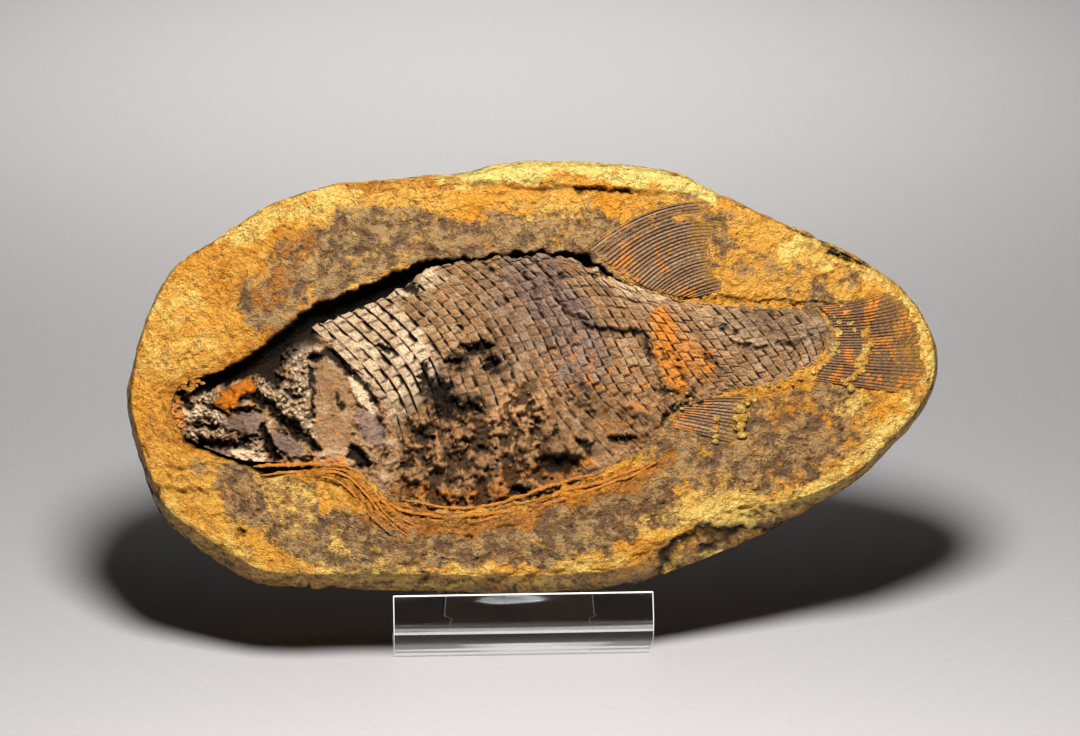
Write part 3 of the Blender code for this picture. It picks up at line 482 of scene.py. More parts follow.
class FOSSIL_PG_stone(bpy.types.PropertyGroup):
    """The nodule's density and colours"""
    around: bpy.props.IntProperty(
        name="Around", description="Points round the nodule's edge", default=696, min=80, max=696)
    rings: bpy.props.IntProperty(
        name="Rings", description="Rings from the back's middle to the hollow's",
        default=134, min=60, max=140)
    ochre: colour("Ochre", "Main colour of the ironstone", (0.78, 0.315, 0.028))
    # Cream is also painted along the rims as highlight
    cream: colour("Cream", "Palest crust of the ironstone", (0.97, 0.78, 0.23))
    umber: colour("Umber", "Brown grains in the ochre", (0.40, 0.145, 0.016))
    stain: colour("Stain", "Grey-brown halo round the fish", (0.075, 0.060, 0.052))
    olive: colour("Olive", "Lighter grains in the halo", (0.34, 0.225, 0.11))
    rust: colour("Rust", "Iron red along the rims", (0.58, 0.205, 0.026))
    # Painted shade: this near black is mixed in where cracks, pits, gaps and hollows lie in shade
    char: colour("Char", "Blackened cracks and hollows", (0.014, 0.010, 0.008))


class FOSSIL_PG_fish(bpy.types.PropertyGroup):
    """The fish's colours"""
    enamel: colour("Enamel", "Tan of the scales", (0.455, 0.264, 0.122))
    mauve: colour("Mauve", "Greyer scales of the middle flank", (0.25, 0.185, 0.155))
    # Bone is also painted as highlight on the scale tiles' raised edges
    bone: colour("Bone", "Pale bones and shoulder scales", (0.96, 0.70, 0.43))
    dark: colour("Dark brown", "Darker grain of scales and bones", (0.085, 0.048, 0.028))
    loam: colour("Loam", "Crumbled brown of the belly", (0.66, 0.34, 0.14))
    sand: colour("Sand", "Where the fins fade into the stone", (0.37, 0.19, 0.045))
    rust: colour("Rust", "Iron red between rays and at the broken layer", (0.72, 0.25, 0.034))
    amber: colour("Amber", "The glossy lump behind the snout", (0.60, 0.17, 0.010))


class FOSSIL_PG_stage(bpy.types.PropertyGroup):
    """Floor, lights and camera"""
    floor_size: bpy.props.FloatProperty(
        name="Floor size", description="Side of the floor", unit="LENGTH", default=8.0)
    floor: colour("Floor", "Pale paper floor", (0.40, 0.384, 0.378))
    key_power: bpy.props.FloatProperty(
        name="Key", description="Power of the key light", unit="POWER", default=3.4)
    key_size: bpy.props.FloatProperty(
        name="Key size", description="Width of the key light", unit="LENGTH", default=0.085)
    back_power: bpy.props.FloatProperty(
        name="Background", description="Power of the background light", unit="POWER", default=0.78)
    sky: bpy.props.FloatProperty(name="Fill", description="Strength of the even fill light", default=0.012)


# ---------------------------------------------------------------- curves, noise and marks

def catmull(a, b, c, d, x):
    """The point at x, from 0 to 1, between b and c."""
    bend = (2 * a - 5 * b + 4 * c - d) * x * x + (3 * b - a - 3 * c + d) * x ** 3
    return 0.5 * (2 * b + (c - a) * x + bend)


def along(points, places):
    """Smooth values at places, counted in points, through an open row of points."""
    points = np.asarray(points, float)
    last = len(points) - 1
    places = np.clip(np.asarray(places, float), 0, last)
    i = np.minimum(places.astype(int), last - 1)
    x = (places - i).reshape(places.shape + (1,) * (points.ndim - 1))
    a, b, c, d = (points[np.clip(i + k, 0, last)] for k in (-1, 0, 1, 2))
    return catmull(a, b, c, d, x)


def closed_ring(quarters, per_quarter):
    """Points spaced evenly along each quarter of the closed curve through all the quarters' points."""
    points = np.array([p for quarter in quarters for p in quarter], float)
    looped = np.concatenate((points[-1:], points, points[:2]))
    ring = []
    start = 0
    for quarter in quarters:
        steps = np.arange(len(quarter) * 12 + 1) / 12 + start + 1
        fine = along(looped, steps)
        lengths = np.concatenate(((0.0,), np.cumsum(np.hypot(*np.diff(fine[:, :2], axis=0).T))))
        want = lengths[-1] * np.arange(per_quarter) / per_quarter
        ring.append(np.stack([np.interp(want, lengths, values) for values in fine.T], axis=1))
        start += len(quarter)
    return np.concatenate(ring)


def smooth_step(x):
    """0 up to 0, 1 from 1 on, and smooth between."""
    x = np.clip(x, 0.0, 1.0)
    return x * x * (3 - 2 * x)


def lumps(u, v, size, depth=3, seed=0.0, w=0.0):
    """Noise of some octaves at every point, about -1 to 1, in lumps of about size millimetres."""
    u, v, w = np.broadcast_arrays(u, v, w)
    spots = np.stack((u / size, v / size, w / size + seed), axis=-1).reshape(-1, 3).tolist()
    return np.array([noise.fractal(p, 0.9, 2.1, depth) for p in spots]).reshape(u.shape)


def pebbles(u, v, size, seed=0.0):
    """Rounded grains of about size millimetres: 1 at the middle of a grain, 0 between grains."""
    spots = np.stack((u / size, v / size, np.full_like(u, seed)), axis=-1).reshape(-1, 3).tolist()
    near = np.array([noise.voronoi(p)[0][:2] for p in spots])
    return smooth_step((near[:, 1] - near[:, 0]) * 2.2).reshape(u.shape)


def from_path(u, v, path):
    """Distance from every point to a path, and its side, positive on the path's left."""
    best = np.full(u.shape, 1e9)
    side = np.zeros(u.shape)
    for (au, av), (bu, bv) in zip(path, path[1:]):
        du, dv = bu - au, bv - av
        share = np.clip(((u - au) * du + (v - av) * dv) / (du * du + dv * dv), 0, 1)
        gap = np.hypot(u - au - share * du, v - av - share * dv)
        nearer = gap < best
        best = np.where(nearer, gap, best)
        side = np.where(nearer, np.sign(du * (v - av) - dv * (u - au)), side)
    return best, side


def marks(u, v, strokes):
    """The strongest of several soft strokes at every point, from 0 to 1."""
    total = np.zeros(u.shape)
    for path, width, soft, strength in strokes:
        gap = from_path(u, v, path)[0]
        total = np.maximum(total, strength * smooth_step(1 - (gap - width) / soft))
    return total


def dents(u, v, holes):
    """Depth of the deepest ragged hole at every point, and how fully the point lies in one."""
    depth = np.zeros(u.shape)
    full = np.zeros(u.shape)
    for a, b, along_radius, up_radius, size in holes:
        reach = ((u - a) / along_radius) ** 2 + ((v - b) / up_radius) ** 2
        share = smooth_step((1.55 - reach) / 1.1)
        depth = np.maximum(depth, size * share)
        full = np.maximum(full, share)
    return depth, full


def inside(u, v, outline, soft):
    """1 well inside a closed outline, fading to 0 over the soft distance at its border."""
    odd = np.zeros(u.shape, bool)
    closed = (*outline, outline[0])
    for (au, av), (bu, bv) in zip(closed, closed[1:]):
        spans = (av > v) != (bv > v)
        odd ^= spans & (u < (bu - au) * (v - av) / (bv - av + 1e-12) + au)
    return odd * smooth_step(from_path(u, v, closed)[0] / soft)


def under_fins(u, v):
    """Where the face lies lower because a fin is pressed on it."""
    return sum(inside(u, v, (*fin["roots"], *reversed(fin["tips"])), FIN_BORDER) for fin in FINS.values())


def warped(u, v, amount, size, seed):
    """The points pushed about, so that marks and holes drawn from them get ragged edges."""
    return (u + amount * lumps(u, v, size, 3, seed), v + amount * lumps(u, v, size, 3, seed + 7.3))


# ---------------------------------------------------------------- meshes in the slab's frame

def slab_matrix():
    """The slab frame's place in the world: u along X, v up and back, w out towards the front."""
    out = Vector((0, -math.cos(SLAB_LEAN), math.sin(SLAB_LEAN)))
    up = Vector((0, math.sin(SLAB_LEAN), math.cos(SLAB_LEAN)))
    turn = Matrix((Vector((1, 0, 0)), up, out)).transposed().to_4x4()
    return Matrix.Translation(Vector(SLAB_PLACE) * MM) @ turn @ Matrix.Rotation(SLAB_ROLL, 4, "Z")


def to_world(points):
    """Points from millimetres in the slab's frame to metres in the world."""
    matrix = np.array(slab_matrix())
    return np.asarray(points) * MM @ matrix[:3, :3].T + matrix[:3, 3]


def read_points(mesh):
    """All points of a mesh, a row each."""
    flat = np.empty(len(mesh.vertices) * 3)
    mesh.vertices.foreach_get("co", flat)
    return flat.reshape(-1, 3)


def write_points(mesh, points):
    """Moves all points of a mesh."""
    mesh.vertices.foreach_set("co", np.asarray(points, float).ravel())
    mesh.update()


def deselect():
    """Leaves edit mode and selects nothing."""
    if bpy.context.object and bpy.context.object.mode != "OBJECT":
        bpy.ops.object.mode_set(mode="OBJECT")
    bpy.ops.object.select_all(action="DESELECT")


def take(name):
    """The new primitive, named, alone in the selection."""
    piece = bpy.context.object
    piece.name = name
    piece.data.name = name
    return piece


def pick_alone(piece):
    """Makes the piece active and selects it alone."""
    deselect()
    piece.select_set(True)
    bpy.context.view_layer.objects.active = piece


def write_layer(mesh, name, channels):
    """Three values a point, kept with the mesh for its material."""
    layer = mesh.attributes.new(name, "FLOAT_COLOR", "POINT")
    values = np.ones((len(mesh.vertices), 4))
    for k, channel in enumerate(channels):
        values[:, k] = np.clip(np.ravel(channel), 0, 1)
    layer.data.foreach_set("color", values.ravel())


def finish_piece(piece, material, node="fossil_slab"):
    """Smooth shading, material, and the piece's place in the assembly."""
    pick_alone(piece)
    bpy.ops.object.shade_smooth()
    piece.data.materials.clear()
    piece.data.materials.append(material)
    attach(piece, "root")
    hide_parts(node)


def add_sheet(name, across, down):
    """A flat grid, and the column and row of each of its points."""
    deselect()
    bpy.ops.mesh.primitive_grid_add(x_subdivisions=across, y_subdivisions=down, size=1)
    sheet = take(name)
    flat = read_points(sheet.data)
    column = np.rint((flat[:, 0] + 0.5) * across).astype(int)
    return sheet, column, np.rint((0.5 - flat[:, 1]) * down).astype(int)


def close_below(sheet, depth):
    """Closes an open relief with a wall and a flat base, and says which points are the base's."""
    pick_alone(sheet)
    bpy.ops.object.mode_set(mode="EDIT")
    bpy.ops.mesh.select_mode(type="EDGE")
    bpy.ops.mesh.select_all(action="DESELECT")
    bpy.ops.mesh.select_non_manifold()
    bpy.ops.mesh.extrude_edges_move()
    bpy.ops.mesh.edge_face_add()
    bpy.ops.object.mode_set(mode="OBJECT")
    count = len(sheet.data.vertices)
    chosen = np.empty(count, bool)
    sheet.data.vertices.foreach_get("select", chosen)
    points = read_points(sheet.data)
    points[chosen, 2] = depth
    write_points(sheet.data, points)
    return chosen


def outwards(piece):
    """Turns all faces of a closed piece outwards."""
    pick_alone(piece)
    bpy.ops.object.mode_set(mode="EDIT")
    bpy.ops.mesh.select_all(action="SELECT")
    bpy.ops.mesh.normals_make_consistent(inside=False)
    bpy.ops.object.mode_set(mode="OBJECT")


def stand_up(piece):
    """Moves a mesh from millimetres in the slab's frame to metres in the world."""
    write_points(piece.data, to_world(read_points(piece.data)))


def relief_piece(name, across, down, relief, base, material):
    """A closed sheet whose points and marks come from relief(column, row)."""
    sheet, column, row = add_sheet(name, across, down)
    points, mark, tone = relief(column, row)
    write_points(sheet.data, points)
    count = len(points)
    wall = close_below(sheet, base)
    pad = len(wall) - count
    # The wall and base under the relief are painted black as shade
    dark = np.ones(pad)
    zero = np.zeros(pad)
    write_layer(sheet.data, "marks", [np.concatenate((m, zero)) for m in mark])
    write_layer(sheet.data, "tones", [np.concatenate((tone[0], zero)), np.concatenate((tone[1], zero)),
                                      np.concatenate((tone[2], dark))])
    stand_up(sheet)
    outwards(sheet)
    finish_piece(sheet, material)
    return sheet


# ---------------------------------------------------------------- heights of the stone and the fish

def face_height(u, v):
    """Height of the split face as in the solids: lumpy, with a raised strip of bedding on top."""
    strip = smooth_step((v - 36.4 + 0.07 * np.abs(u - 8)) / 1.0) * smooth_step((u + 12) / 14)
    crack = np.exp(-((v + 22.4 + 0.1 * (u + 70)) / 0.9) ** 2) * smooth_step((-u - 58) / 10)
    return -0.6 + 0.55 * lumps(u, v, LUMP_SIZE, 3, 3.0 / LUMP_SIZE) + 1.2 * strip - 1.1 * crack


def cracks_at(u, v):
    """How deep the stone's cracks and pits are at every point, and how strong the painted shade in them
    is.
    """
    wu, wv = warped(u, v, 1.0, 3.0, 2.0)
    wu, wv = warped(wu, wv, 0.5, 0.9, 12.0)
    uneven = 0.75 + 0.6 * lumps(u, v, 2.0, 2, 14.0)
    drop = np.zeros(u.shape)
    for path, width, depth in STONE_CRACKS:
        gap = from_path(wu, wv, path)[0]
        drop = drop + depth * smooth_step(1.6 - gap / (width * uneven + 0.05))
    return drop, smooth_step(drop * 1.1 - 0.3) * 0.9 * np.clip(uneven + 0.2, 0, 1)


def stone_face(u, v):
    """The split face in full: height, and the painted shade in its cracks and pits."""
    height = face_height(u, v)
    height = height + 0.5 * lumps(u, v, 4.6, 3, 5.0) + 0.36 * lumps(u * 0.8, v, 1.5, 3, 9.0)
    drop, dark = cracks_at(u, v)
    height = height - drop
    pits = smooth_step((lumps(u, v, 1.7, 2, 21.0) - 0.42) / 0.2)
    height = height - 0.5 * pits
    flakes = smooth_step((lumps(u * 0.8, v * 1.5, 3.4, 2, 31.0) - 0.1) / 0.12)
    ledges = np.floor(lumps(u * 0.6, v, 7.0, 3, 35.0) * 3.2) / 3.2
    rough = smooth_step((-v - 12) / 10) * smooth_step((u + 10) / 30)
    height = height + 0.4 * flakes + (0.35 + 0.9 * rough) * ledges - FIN_BED * under_fins(u, v)
    return height, np.maximum(dark, 0.2 * pits)


def stone_marks(u, v):
    """Stain, rust, and cream crust with painted highlight along the rims, on the stone at every point."""
    wu, wv = warped(u, v, 2.4, 6.0, 11.0)
    wu, wv = warped(wu, wv, 0.7, 1.6, 17.0)
    return marks(wu, wv, STONE_STAIN), marks(wu, wv, STONE_RUST), marks(wu, wv, STONE_CREAM_AND_HIGHLIGHT)


def ring_plan(rings):
    """How many rings go to the back, the side, the face, the wall of the hollow and its floor."""
    inner = rings - 1
    back, side, wall, floor = (round(inner * share) for share in RING_SHARES)
    return back, side, inner - back - side - wall - floor, wall, floor


def unit(vectors):
    """Directions in the plane, each made one long."""
    return vectors / np.hypot(*vectors.T)[:, None]


def level_ring(flat, height):
    """A ring of points that all have one height."""
    return np.column_stack((flat, np.full(len(flat), height)))


def nodule_lines(around):
    """The nodule's outline, the face's border, the hollow's ragged rim and the way in from the edge."""
    edge = closed_ring(EDGE_QUARTERS, around // 4)
    rim = closed_ring(CAVITY_QUARTERS, around // 4)
    jags = RIM_JAGS * lumps(rim[:, 0], rim[:, 1], 2.4, 3, 82.0)
    jags = jags + RIM_NICKS * lumps(rim[:, 0], rim[:, 1], 1.1, 1, 84.0) + RIM_WIDER
    rim = rim - unit(rim - np.array(CAVITY_MIDDLE)) * jags[:, None]
    along_edge = np.roll(edge, -1, axis=0)[:, :2] - np.roll(edge, 1, axis=0)[:, :2]
    inwards = unit(np.stack((along_edge[:, 1], -along_edge[:, 0]), axis=1))
    return edge[:, :2] + inwards * EDGE_INSET, edge[:, :2] + inwards * edge[:, 2:3], rim, inwards


def back_rings(outline, count):
    """Rings from the back's middle out to the girth, where the back is deepest in its middle."""
    middle = np.array(BACK_CENTRE)
    for k in range(1, count + 1):
        share = math.sin(math.pi / 2 * k / (count + 1)) ** 0.9
        depth = GIRTH_DEPTH + (NODULE_THICKNESS - GIRTH_DEPTH) * (1 - share ** 2.6) ** 0.62
        yield "back", share, level_ring(middle + (outline - middle) * share, -depth)


def side_rings(outline, border, count):
    """Rings up the broken edge: steep below its knee, and rounded over above it."""
    for k in range(count):
        share = k / count
        if share < SIDE_KNEE:
            low = share / SIDE_KNEE
            across = 0.7 * low ** 1.3
            height = -GIRTH_DEPTH + 0.64 * GIRTH_DEPTH * low ** 0.9
        else:
            high = (share - SIDE_KNEE) / (1 - SIDE_KNEE)
            across = 0.7 + 0.3 * high
            height = -0.36 * GIRTH_DEPTH + (0.36 * GIRTH_DEPTH - BORDER_DEPTH) * high
        yield "side", share, level_ring(outline * (1 - across) + border * across, height)


def face_rings(border, rim, count):
    """Rings over the split face, from its border to the rim of the hollow."""
    for k in range(count):
        share = k / (count - 1)
        yield "face", share, level_ring(border * (1 - share) + rim * share, 0.0)


def hollow_rings(rim, wall, floor):
    """Rings down the wall of the hollow and over its floor."""
    middle = np.array(CAVITY_MIDDLE)
    for k in range(1, wall + 1):
        share = k / wall
        yield "wall", share, level_ring(middle + (rim - middle) * (1 - WALL_TAPER * share), share)
    for k in range(1, floor + 1):
        share = 1 - k / (floor + 1)
        yield "floor", share, level_ring(middle + (rim - middle) * (1 - WALL_TAPER) * share, 0.0)


def nodule_rings(around, rings):
    """All rings from the back's middle round the edge and over the face into the hollow."""
    outline, border, rim, inwards = nodule_lines(around)
    back, side, face, wall, floor = ring_plan(rings)
    made = (*back_rings(outline, back), *side_rings(outline, border, side),
            *face_rings(border, rim, face), *hollow_rings(rim, wall, floor))
    kinds, shares, layers = (np.array(part) for part in zip(*made))
    return layers, kinds, shares, inwards


def carve_face(layers, mark, tone, here, shares):
    """The split face, with a worn border and a broken lip round the hollow; returns the lip's height."""
    u, v = layers[here, :, 0], layers[here, :, 1]
    height, dark = stone_face(u, v)
    border = smooth_step(1 - shares / 0.05)[:, None]
    lip = smooth_step((shares - 0.975) / 0.025)[:, None]
    height = height - BORDER_DROP * border - LIP_DROP * lip * (1 + lumps(u, v, 1.6, 2, 41.0))
    layers[here, :, 2] = height
    mark[:, here] = stone_marks(u, v)
    # Painted shade in cracks and pits, and along the broken lip round the hollow
    tone[2, here] = np.maximum(dark, 0.35 * lip)
    return height[-1]


def carve_hollow(layers, mark, tone, kinds, shares, lip_height):
    """The hollow's wall, with painted shade deepening towards its foot, and its rough floor painted black
    as shade.
    """
    for k in np.flatnonzero(kinds == "wall"):
        layers[k, :, 2] = lip_height + (CAVITY_FLOOR - lip_height) * shares[k]
        tone[2, k] = 0.6 + 0.4 * shares[k]
        mark[1, k] = 0.5 * (1 - shares[k])
    for k in np.flatnonzero(kinds == "floor"):
        layers[k, :, 2] = CAVITY_FLOOR + 0.5 * lumps(layers[k, :, 0], layers[k, :, 1], 3.0, 3, 13.0)
        tone[2, k] = 1.0


def shell_relief(u, v, deep):
    """Roughness of back and side, how far the stone is worn in there, and how strong the painted shade in
    pits and seams is.
    """
    rough = lumps(u, v, 12.0, 4, 2.0, deep) * 0.5 + lumps(u, v, 3.2, 4, 6.0, deep) * 0.28
    pits = smooth_step((lumps(u, v, 2.2, 2, 23.0, deep) - 0.4) / 0.25)
    seams = 1 - smooth_step(np.abs(lumps(u, v, 17.0, 3, 51.0, deep)) / 0.035)
    worn_in = np.maximum(0.55 + 0.9 * rough + 0.45 * pits + 0.6 * seams, 0.0)
    return rough, worn_in, np.maximum(0.7 * seams, 0.5 * pits)


def carve_back(layers, mark, tone, here, shares, inwards):
    """The back: broad hollows, pits and seams, stained brown."""
    u, v, deep = np.moveaxis(layers[here], 2, 0)
    _, worn_in, dark = shell_relief(u, v, deep)
    fade = shares[:, None] ** 3
    broad = lumps(u, v, 17.0, 3, 40.0 / 17.0)
    layers[here, :, 2] = deep + 1.0 * worn_in - 1.28 * (broad + 0.4) * (1 - fade)
    layers[here, :, :2] += inwards[None] * (worn_in * fade * 0.7)[:, :, None]
    u, v = layers[here, :, 0], layers[here, :, 1]
    mark[0, here] = 0.35 + 0.6 * smooth_step(lumps(u, v, 14.0, 3, 61.0) + 0.4)
    mark[1, here] = 0.5 * smooth_step(lumps(u, v, 9.0, 3, 71.0))
    # Painted shade in pits and seams
    tone[2, here] = dark


def carve_side(layers, mark, tone, here, shares, inwards):
    """The broken edge: the face's marks and cracks run on over it, its cracks get painted shade, and its
    underside is painted browner as shade.
    """
    u, v, deep = np.moveaxis(layers[here], 2, 0)
    rough, worn_in, dark = shell_relief(u, v, deep)
    layers[here, :, 2] = deep + 0.3 * rough
    layers[here, :, :2] += inwards[None] * (worn_in * (1 - 0.6 * shares)[:, None])[:, :, None]
    u, v = layers[here, :, 0], layers[here, :, 1]
    under = smooth_step((-v - 8) / 16)
    mark[:, here] = stone_marks(u, v)
    # Painted shade: the stain is raised on the underside of the edge
    mark[0, here] = np.maximum(mark[0, here] * 0.6, 0.75 * under * (1 - 0.5 * shares[:, None]))
    drop, crack = cracks_at(u, v)
    layers[here, :, :2] += inwards[None] * (0.5 * drop)[:, :, None]
    # Painted shade in the cracks
    tone[2, here] = np.maximum(dark, crack)


def carve_nodule(layers, kinds, shares, inwards):
    """Gives every ring its height, and returns its marks and tones."""
    mark = np.zeros((3, *layers.shape[:2]))
    tone = np.zeros((3, *layers.shape[:2]))
    back, side, face = (kinds == kind for kind in ("back", "side", "face"))
    lip_height = carve_face(layers, mark, tone, face, shares[face])
    carve_hollow(layers, mark, tone, kinds, shares, lip_height)
    carve_back(layers, mark, tone, back, shares[back], inwards)
    carve_side(layers, mark, tone, side, shares[side], inwards)
    return mark, tone


def build_stone(look, material):
    """The nodule: a globe drawn over the back, the broken edge, the split face and the hollow."""
    deselect()
    around = look.around // 4 * 4
    bpy.ops.mesh.primitive_uv_sphere_add(segments=around, ring_count=look.rings, radius=1)
    stone = take("stone_nodule")
    globe = read_points(stone.data)
    ring = np.rint(np.arccos(np.clip(-globe[:, 2], -1, 1)) / math.pi * look.rings).astype(int)
    spoke = np.rint(np.arctan2(-globe[:, 1], globe[:, 0]) / math.tau * around).astype(int) % around
    layers, kinds, shares, inwards = nodule_rings(around, look.rings)
    mark, tone = carve_nodule(layers, kinds, shares, inwards)
    points = np.empty_like(globe)
    inner = (ring > 0) & (ring < look.rings)
    points[inner] = layers[ring[inner] - 1, spoke[inner]]
    back_pole, floor_pole = ring == 0, ring == look.rings
    points[back_pole] = (*BACK_CENTRE, layers[0, :, 2].mean())
    points[floor_pole] = (*CAVITY_MIDDLE, CAVITY_FLOOR)
    write_points(stone.data, points)
    picked = np.clip(ring - 1, 0, len(layers) - 1)
    write_layer(stone.data, "marks", [channel[picked, spoke] for channel in mark])
    write_layer(stone.data, "tones", [channel[picked, spoke] for channel in tone])
    stand_up(stone)
    world = read_points(stone.data)
    world[:, 2] = np.minimum(world[:, 2], CAD_BOX[1][2] - BOX_GAP)
    write_points(stone.data, world)
    outwards(stone)
    finish_piece(stone, material)
    return stone


def body_at(where, down):
    """The fish's skin in the slab frame at places counted in guides and shares down them."""
    lines = along(np.array(GUIDES), where)
    profile = along(np.array(PROFILE), where)
    places = down * (len(GUIDES[0]) - 1)
    last = len(GUIDES[0]) - 1
    i = np.minimum(places.astype(int), last - 1)
    rows = np.arange(len(where))
    ends = [lines[rows, np.clip(i + k, 0, last)] for k in (-1, 0, 1, 2)]
    flat = catmull(*ends, (places - i)[:, None])
    back, crest, belly = profile.T
    above = crest - (crest - back) * (1 - down / CREST_AT) ** 2
    below = crest - (crest - belly) * ((down - CREST_AT) / (1 - CREST_AT)) ** 2
    return flat[:, 0], flat[:, 1], np.where(down < CREST_AT, above, below)


def guide_lengths():
    """Length of each guide line, to count the cells in a row of scales."""
    return np.array([np.hypot(*np.diff(np.array(line), axis=0).T).sum() for line in GUIDES])


def row_places():
    """Where each scale row starts, counted in guides, with the rows evenly wide along the mid line."""
    fine = np.linspace(HEAD_GUIDES, len(GUIDES) - 1, 400)
    u, v, _ = body_at(fine, np.full(len(fine), MID_LINE))
    lengths = np.concatenate(((0.0,), np.cumsum(np.hypot(np.diff(u), np.diff(v)))))
    return np.interp(np.arange(SCALE_ROWS + 1) * lengths[-1] / SCALE_ROWS, lengths, fine)


def scale_columns():
    """Rows and the places across them, for every column of the flank's mesh."""
    rows, places = [], []
    for row in range(SCALE_ROWS):
        rows += [row] * len(FACE_ACROSS)
        places += FACE_ACROSS
    rows.append(SCALE_ROWS - 1)
    places.append(1.0)
    return np.array(rows), np.array(places)


def flank_wear(u, v, down):
    """Where scales have crumbled: fully over the front of the belly, and partly behind it."""
    front = smooth_step((down - 0.60 + 0.16 * lumps(u, v, 7.0, 2, 8.0)) / 0.14)
    front = front * smooth_step((8.0 - u) / 8.0) * smooth_step((u + 29.0) / 5.0)
    rear = smooth_step((down - 0.74 + 0.14 * lumps(u, v, 4.0, 2, 18.0)) / 0.12)
    rear = rear * smooth_step((38.0 - u) / 8.0) * smooth_step((u + 6.0) / 8.0)
    return np.maximum(front, 0.4 * rear)


def row_gap(u, v, across, shoulder, tilt, lift, fused):
    """The width of the gap behind a row, and the place across the row, bent so that rows waver."""
    gap = 0.22 + (0.12 + 0.16 * shoulder) * lumps(u, v, 3.0, 2, 14.0)
    gap = gap + 0.06 * shoulder * (0.5 + 0.5 * lift) + 0.2 * (fused - 0.5)
    gap = np.clip(gap, 0.06, 0.45)
    bent = across + (0.09 + 0.06 * shoulder) * lumps(u, v, 1.6, 2, 16.0) + 0.16 * (tilt - 0.5)
    return gap, bent


def scale_tiles(u, v, across, part, shoulder, luck):
    """Relief of the tiles, how far each has risen, and how open the gaps and joints round it are."""
    tilt, lift, _, fused, gone = luck
    gap, bent = row_gap(u, v, across, shoulder, tilt, lift, fused)
    rise = np.clip(bent / (1 - gap), 0, 1) ** 0.8
    open_gap = smooth_step((bent - (1 - gap)) / (0.4 * gap)) * smooth_step((1.05 - across) / 0.12)
    low_side = 0.45 + 0.55 * smooth_step((part - 0.1) / 0.45)
    open_gap = open_gap * np.maximum(low_side, shoulder) * (0.55 + 0.45 * smooth_step(fused * 3))
    joint = np.exp(-(np.minimum(part, 1 - part) / (0.07 + 0.05 * shoulder)) ** 2)
    joint = joint * (0.25 + 0.3 * shoulder + 0.6 * lift)
    joint = joint * smooth_step((across - 0.05) / 0.3)
    tile = -TILE_FRONT + TILE_RISE * rise + 0.34 * (lift - 0.5) + 0.34 * (part - 0.35) * (0.4 + tilt)
    tile = tile - JOINT_DEPTH * joint + 0.11 * lumps(u, v, 0.8, 3, 19.0)
    tile = np.where(gone > KEPT_TILES, tile - 0.5, tile)
    depth = GAP_DEPTH * (0.6 + 0.5 * shoulder + 0.4 * lumps(u, v, 5.0, 2, 25.0))
    return tile * (1 - open_gap) + (-TILE_FRONT - depth) * open_gap, rise, open_gap, joint


def crumbled(u, v):
    """Terraced rubble."""
    rubble = 1.7 * lumps(u, v, 3.0, 3, 33.0) + 0.6 * lumps(u, v, 0.9, 2, 37.0)
    return 0.3 * rubble + 0.7 * (np.floor(rubble * 1.8) / 1.8)


def upper_layer(u, v):
    """Height of the upper layer of scales, and the shadow under its broken edge."""
    gap, side = from_path(*warped(u, v, 0.7, 1.6, 95.0), LEDGE_LINE)
    height = LEDGE_RISE * smooth_step(0.5 + gap * side / 0.5) * smooth_step(1.3 - gap / LEDGE_FADE)
    shadow = smooth_step(1.4 - gap / 1.1) * (gap * side < 0) * smooth_step((u - 7) / 3)
    return height, shadow * smooth_step(23.4 - u)


def build_flank(material):
    """Rows of overlapping scales, each tile with its own tilt, tone and gaps, worn away at the belly."""
    rows, places = scale_columns()
    chance = np.random.default_rng(7).random((5, SCALE_ROWS, MOST_CELLS))
    starts = row_places()

    def relief(column, line):
        row, across, down = rows[column], places[column], line / FLANK_DOWN
        u, v, height = body_at(starts[row] + (starts[row + 1] - starts[row]) * across, down)
        v = v + smooth_step((0.06 - down) / 0.06) * (0.9 * lumps(u, v, 2.2, 2, 92.0) - 0.2)
        cells = np.rint(along(guide_lengths(), (starts[row] + starts[row + 1]) / 2) / CELL_LENGTH)
        cell = down * cells + ROW_SHIFT * row + 0.14 * lumps(u, v, 2.6, 2, 3.0)
        number = np.floor(cell).astype(int)
        luck = chance[:, row, number % MOST_CELLS]
        _, lift, tint, _, _ = luck
        worn = flank_wear(u, v, down)
        shoulder = smooth_step((9.0 - row) / 4.0)
        tile, rise, open_gap, joint = scale_tiles(u, v, across, cell - number, shoulder, luck)
        rubble = crumbled(u, v)
        size = 0.6 + 0.4 * smooth_step((cells - 6) / 9)
        tile = tile * size * (1 - 0.75 * worn) + worn * (RUBBLE_RISE * rubble + 0.1)
        layer, below_layer = upper_layer(u, v)
        hollow, hole = dents(*warped(*warped(u, v, 0.9, 1.6, 44.0), 0.5, 0.6, 46.0), FLANK_HOLES)
        low = smooth_step((0.06 - (rubble + 0.9 * lumps(u, v, 1.2, 2, 61.0))) / 0.25) * worn
        mu, mv = warped(u, v, 1.1, 3.2, 47.0)
        # Pits and cracks, sunk and painted black as shade
        char = marks(mu, mv, FLANK_PIT_SHADE) * (0.8 + 0.9 * lumps(u, v, 1.3, 3, 52.0))
        height = height + layer + tile - hollow - 0.45 * low - 0.8 * np.clip(char, 0, 1)
        shadow = open_gap * (1 - 0.35 * worn)
        for dark in (0.8 * joint * (1 - worn), hole, 0.95 * below_layer, 0.9 * low, char):
            shadow = np.maximum(shadow, dark)
        pale = marks(mu, mv, FLANK_PALE) * (0.55 + 0.6 * tint)
        # Painted highlight along each risen tile's raised back edge
        pale = np.maximum(pale, 0.3 * lift * smooth_step((rise - 0.55) / 0.4) * (1 - open_gap))
        tint = np.clip(0.5 + 0.8 * (tint - 0.5) + 0.35 * lumps(u, v, 4.0, 3, 57.0), 0, 1)
        rust, mauve = marks(mu, mv, FLANK_RUST), marks(mu, mv, FLANK_MAUVE)
        return np.column_stack((u, v, height)), (worn, rust, pale), (tint, mauve, shadow)

    return relief_piece("scale_flank", len(rows) - 1, FLANK_DOWN, relief, BODY_ROOT, material)


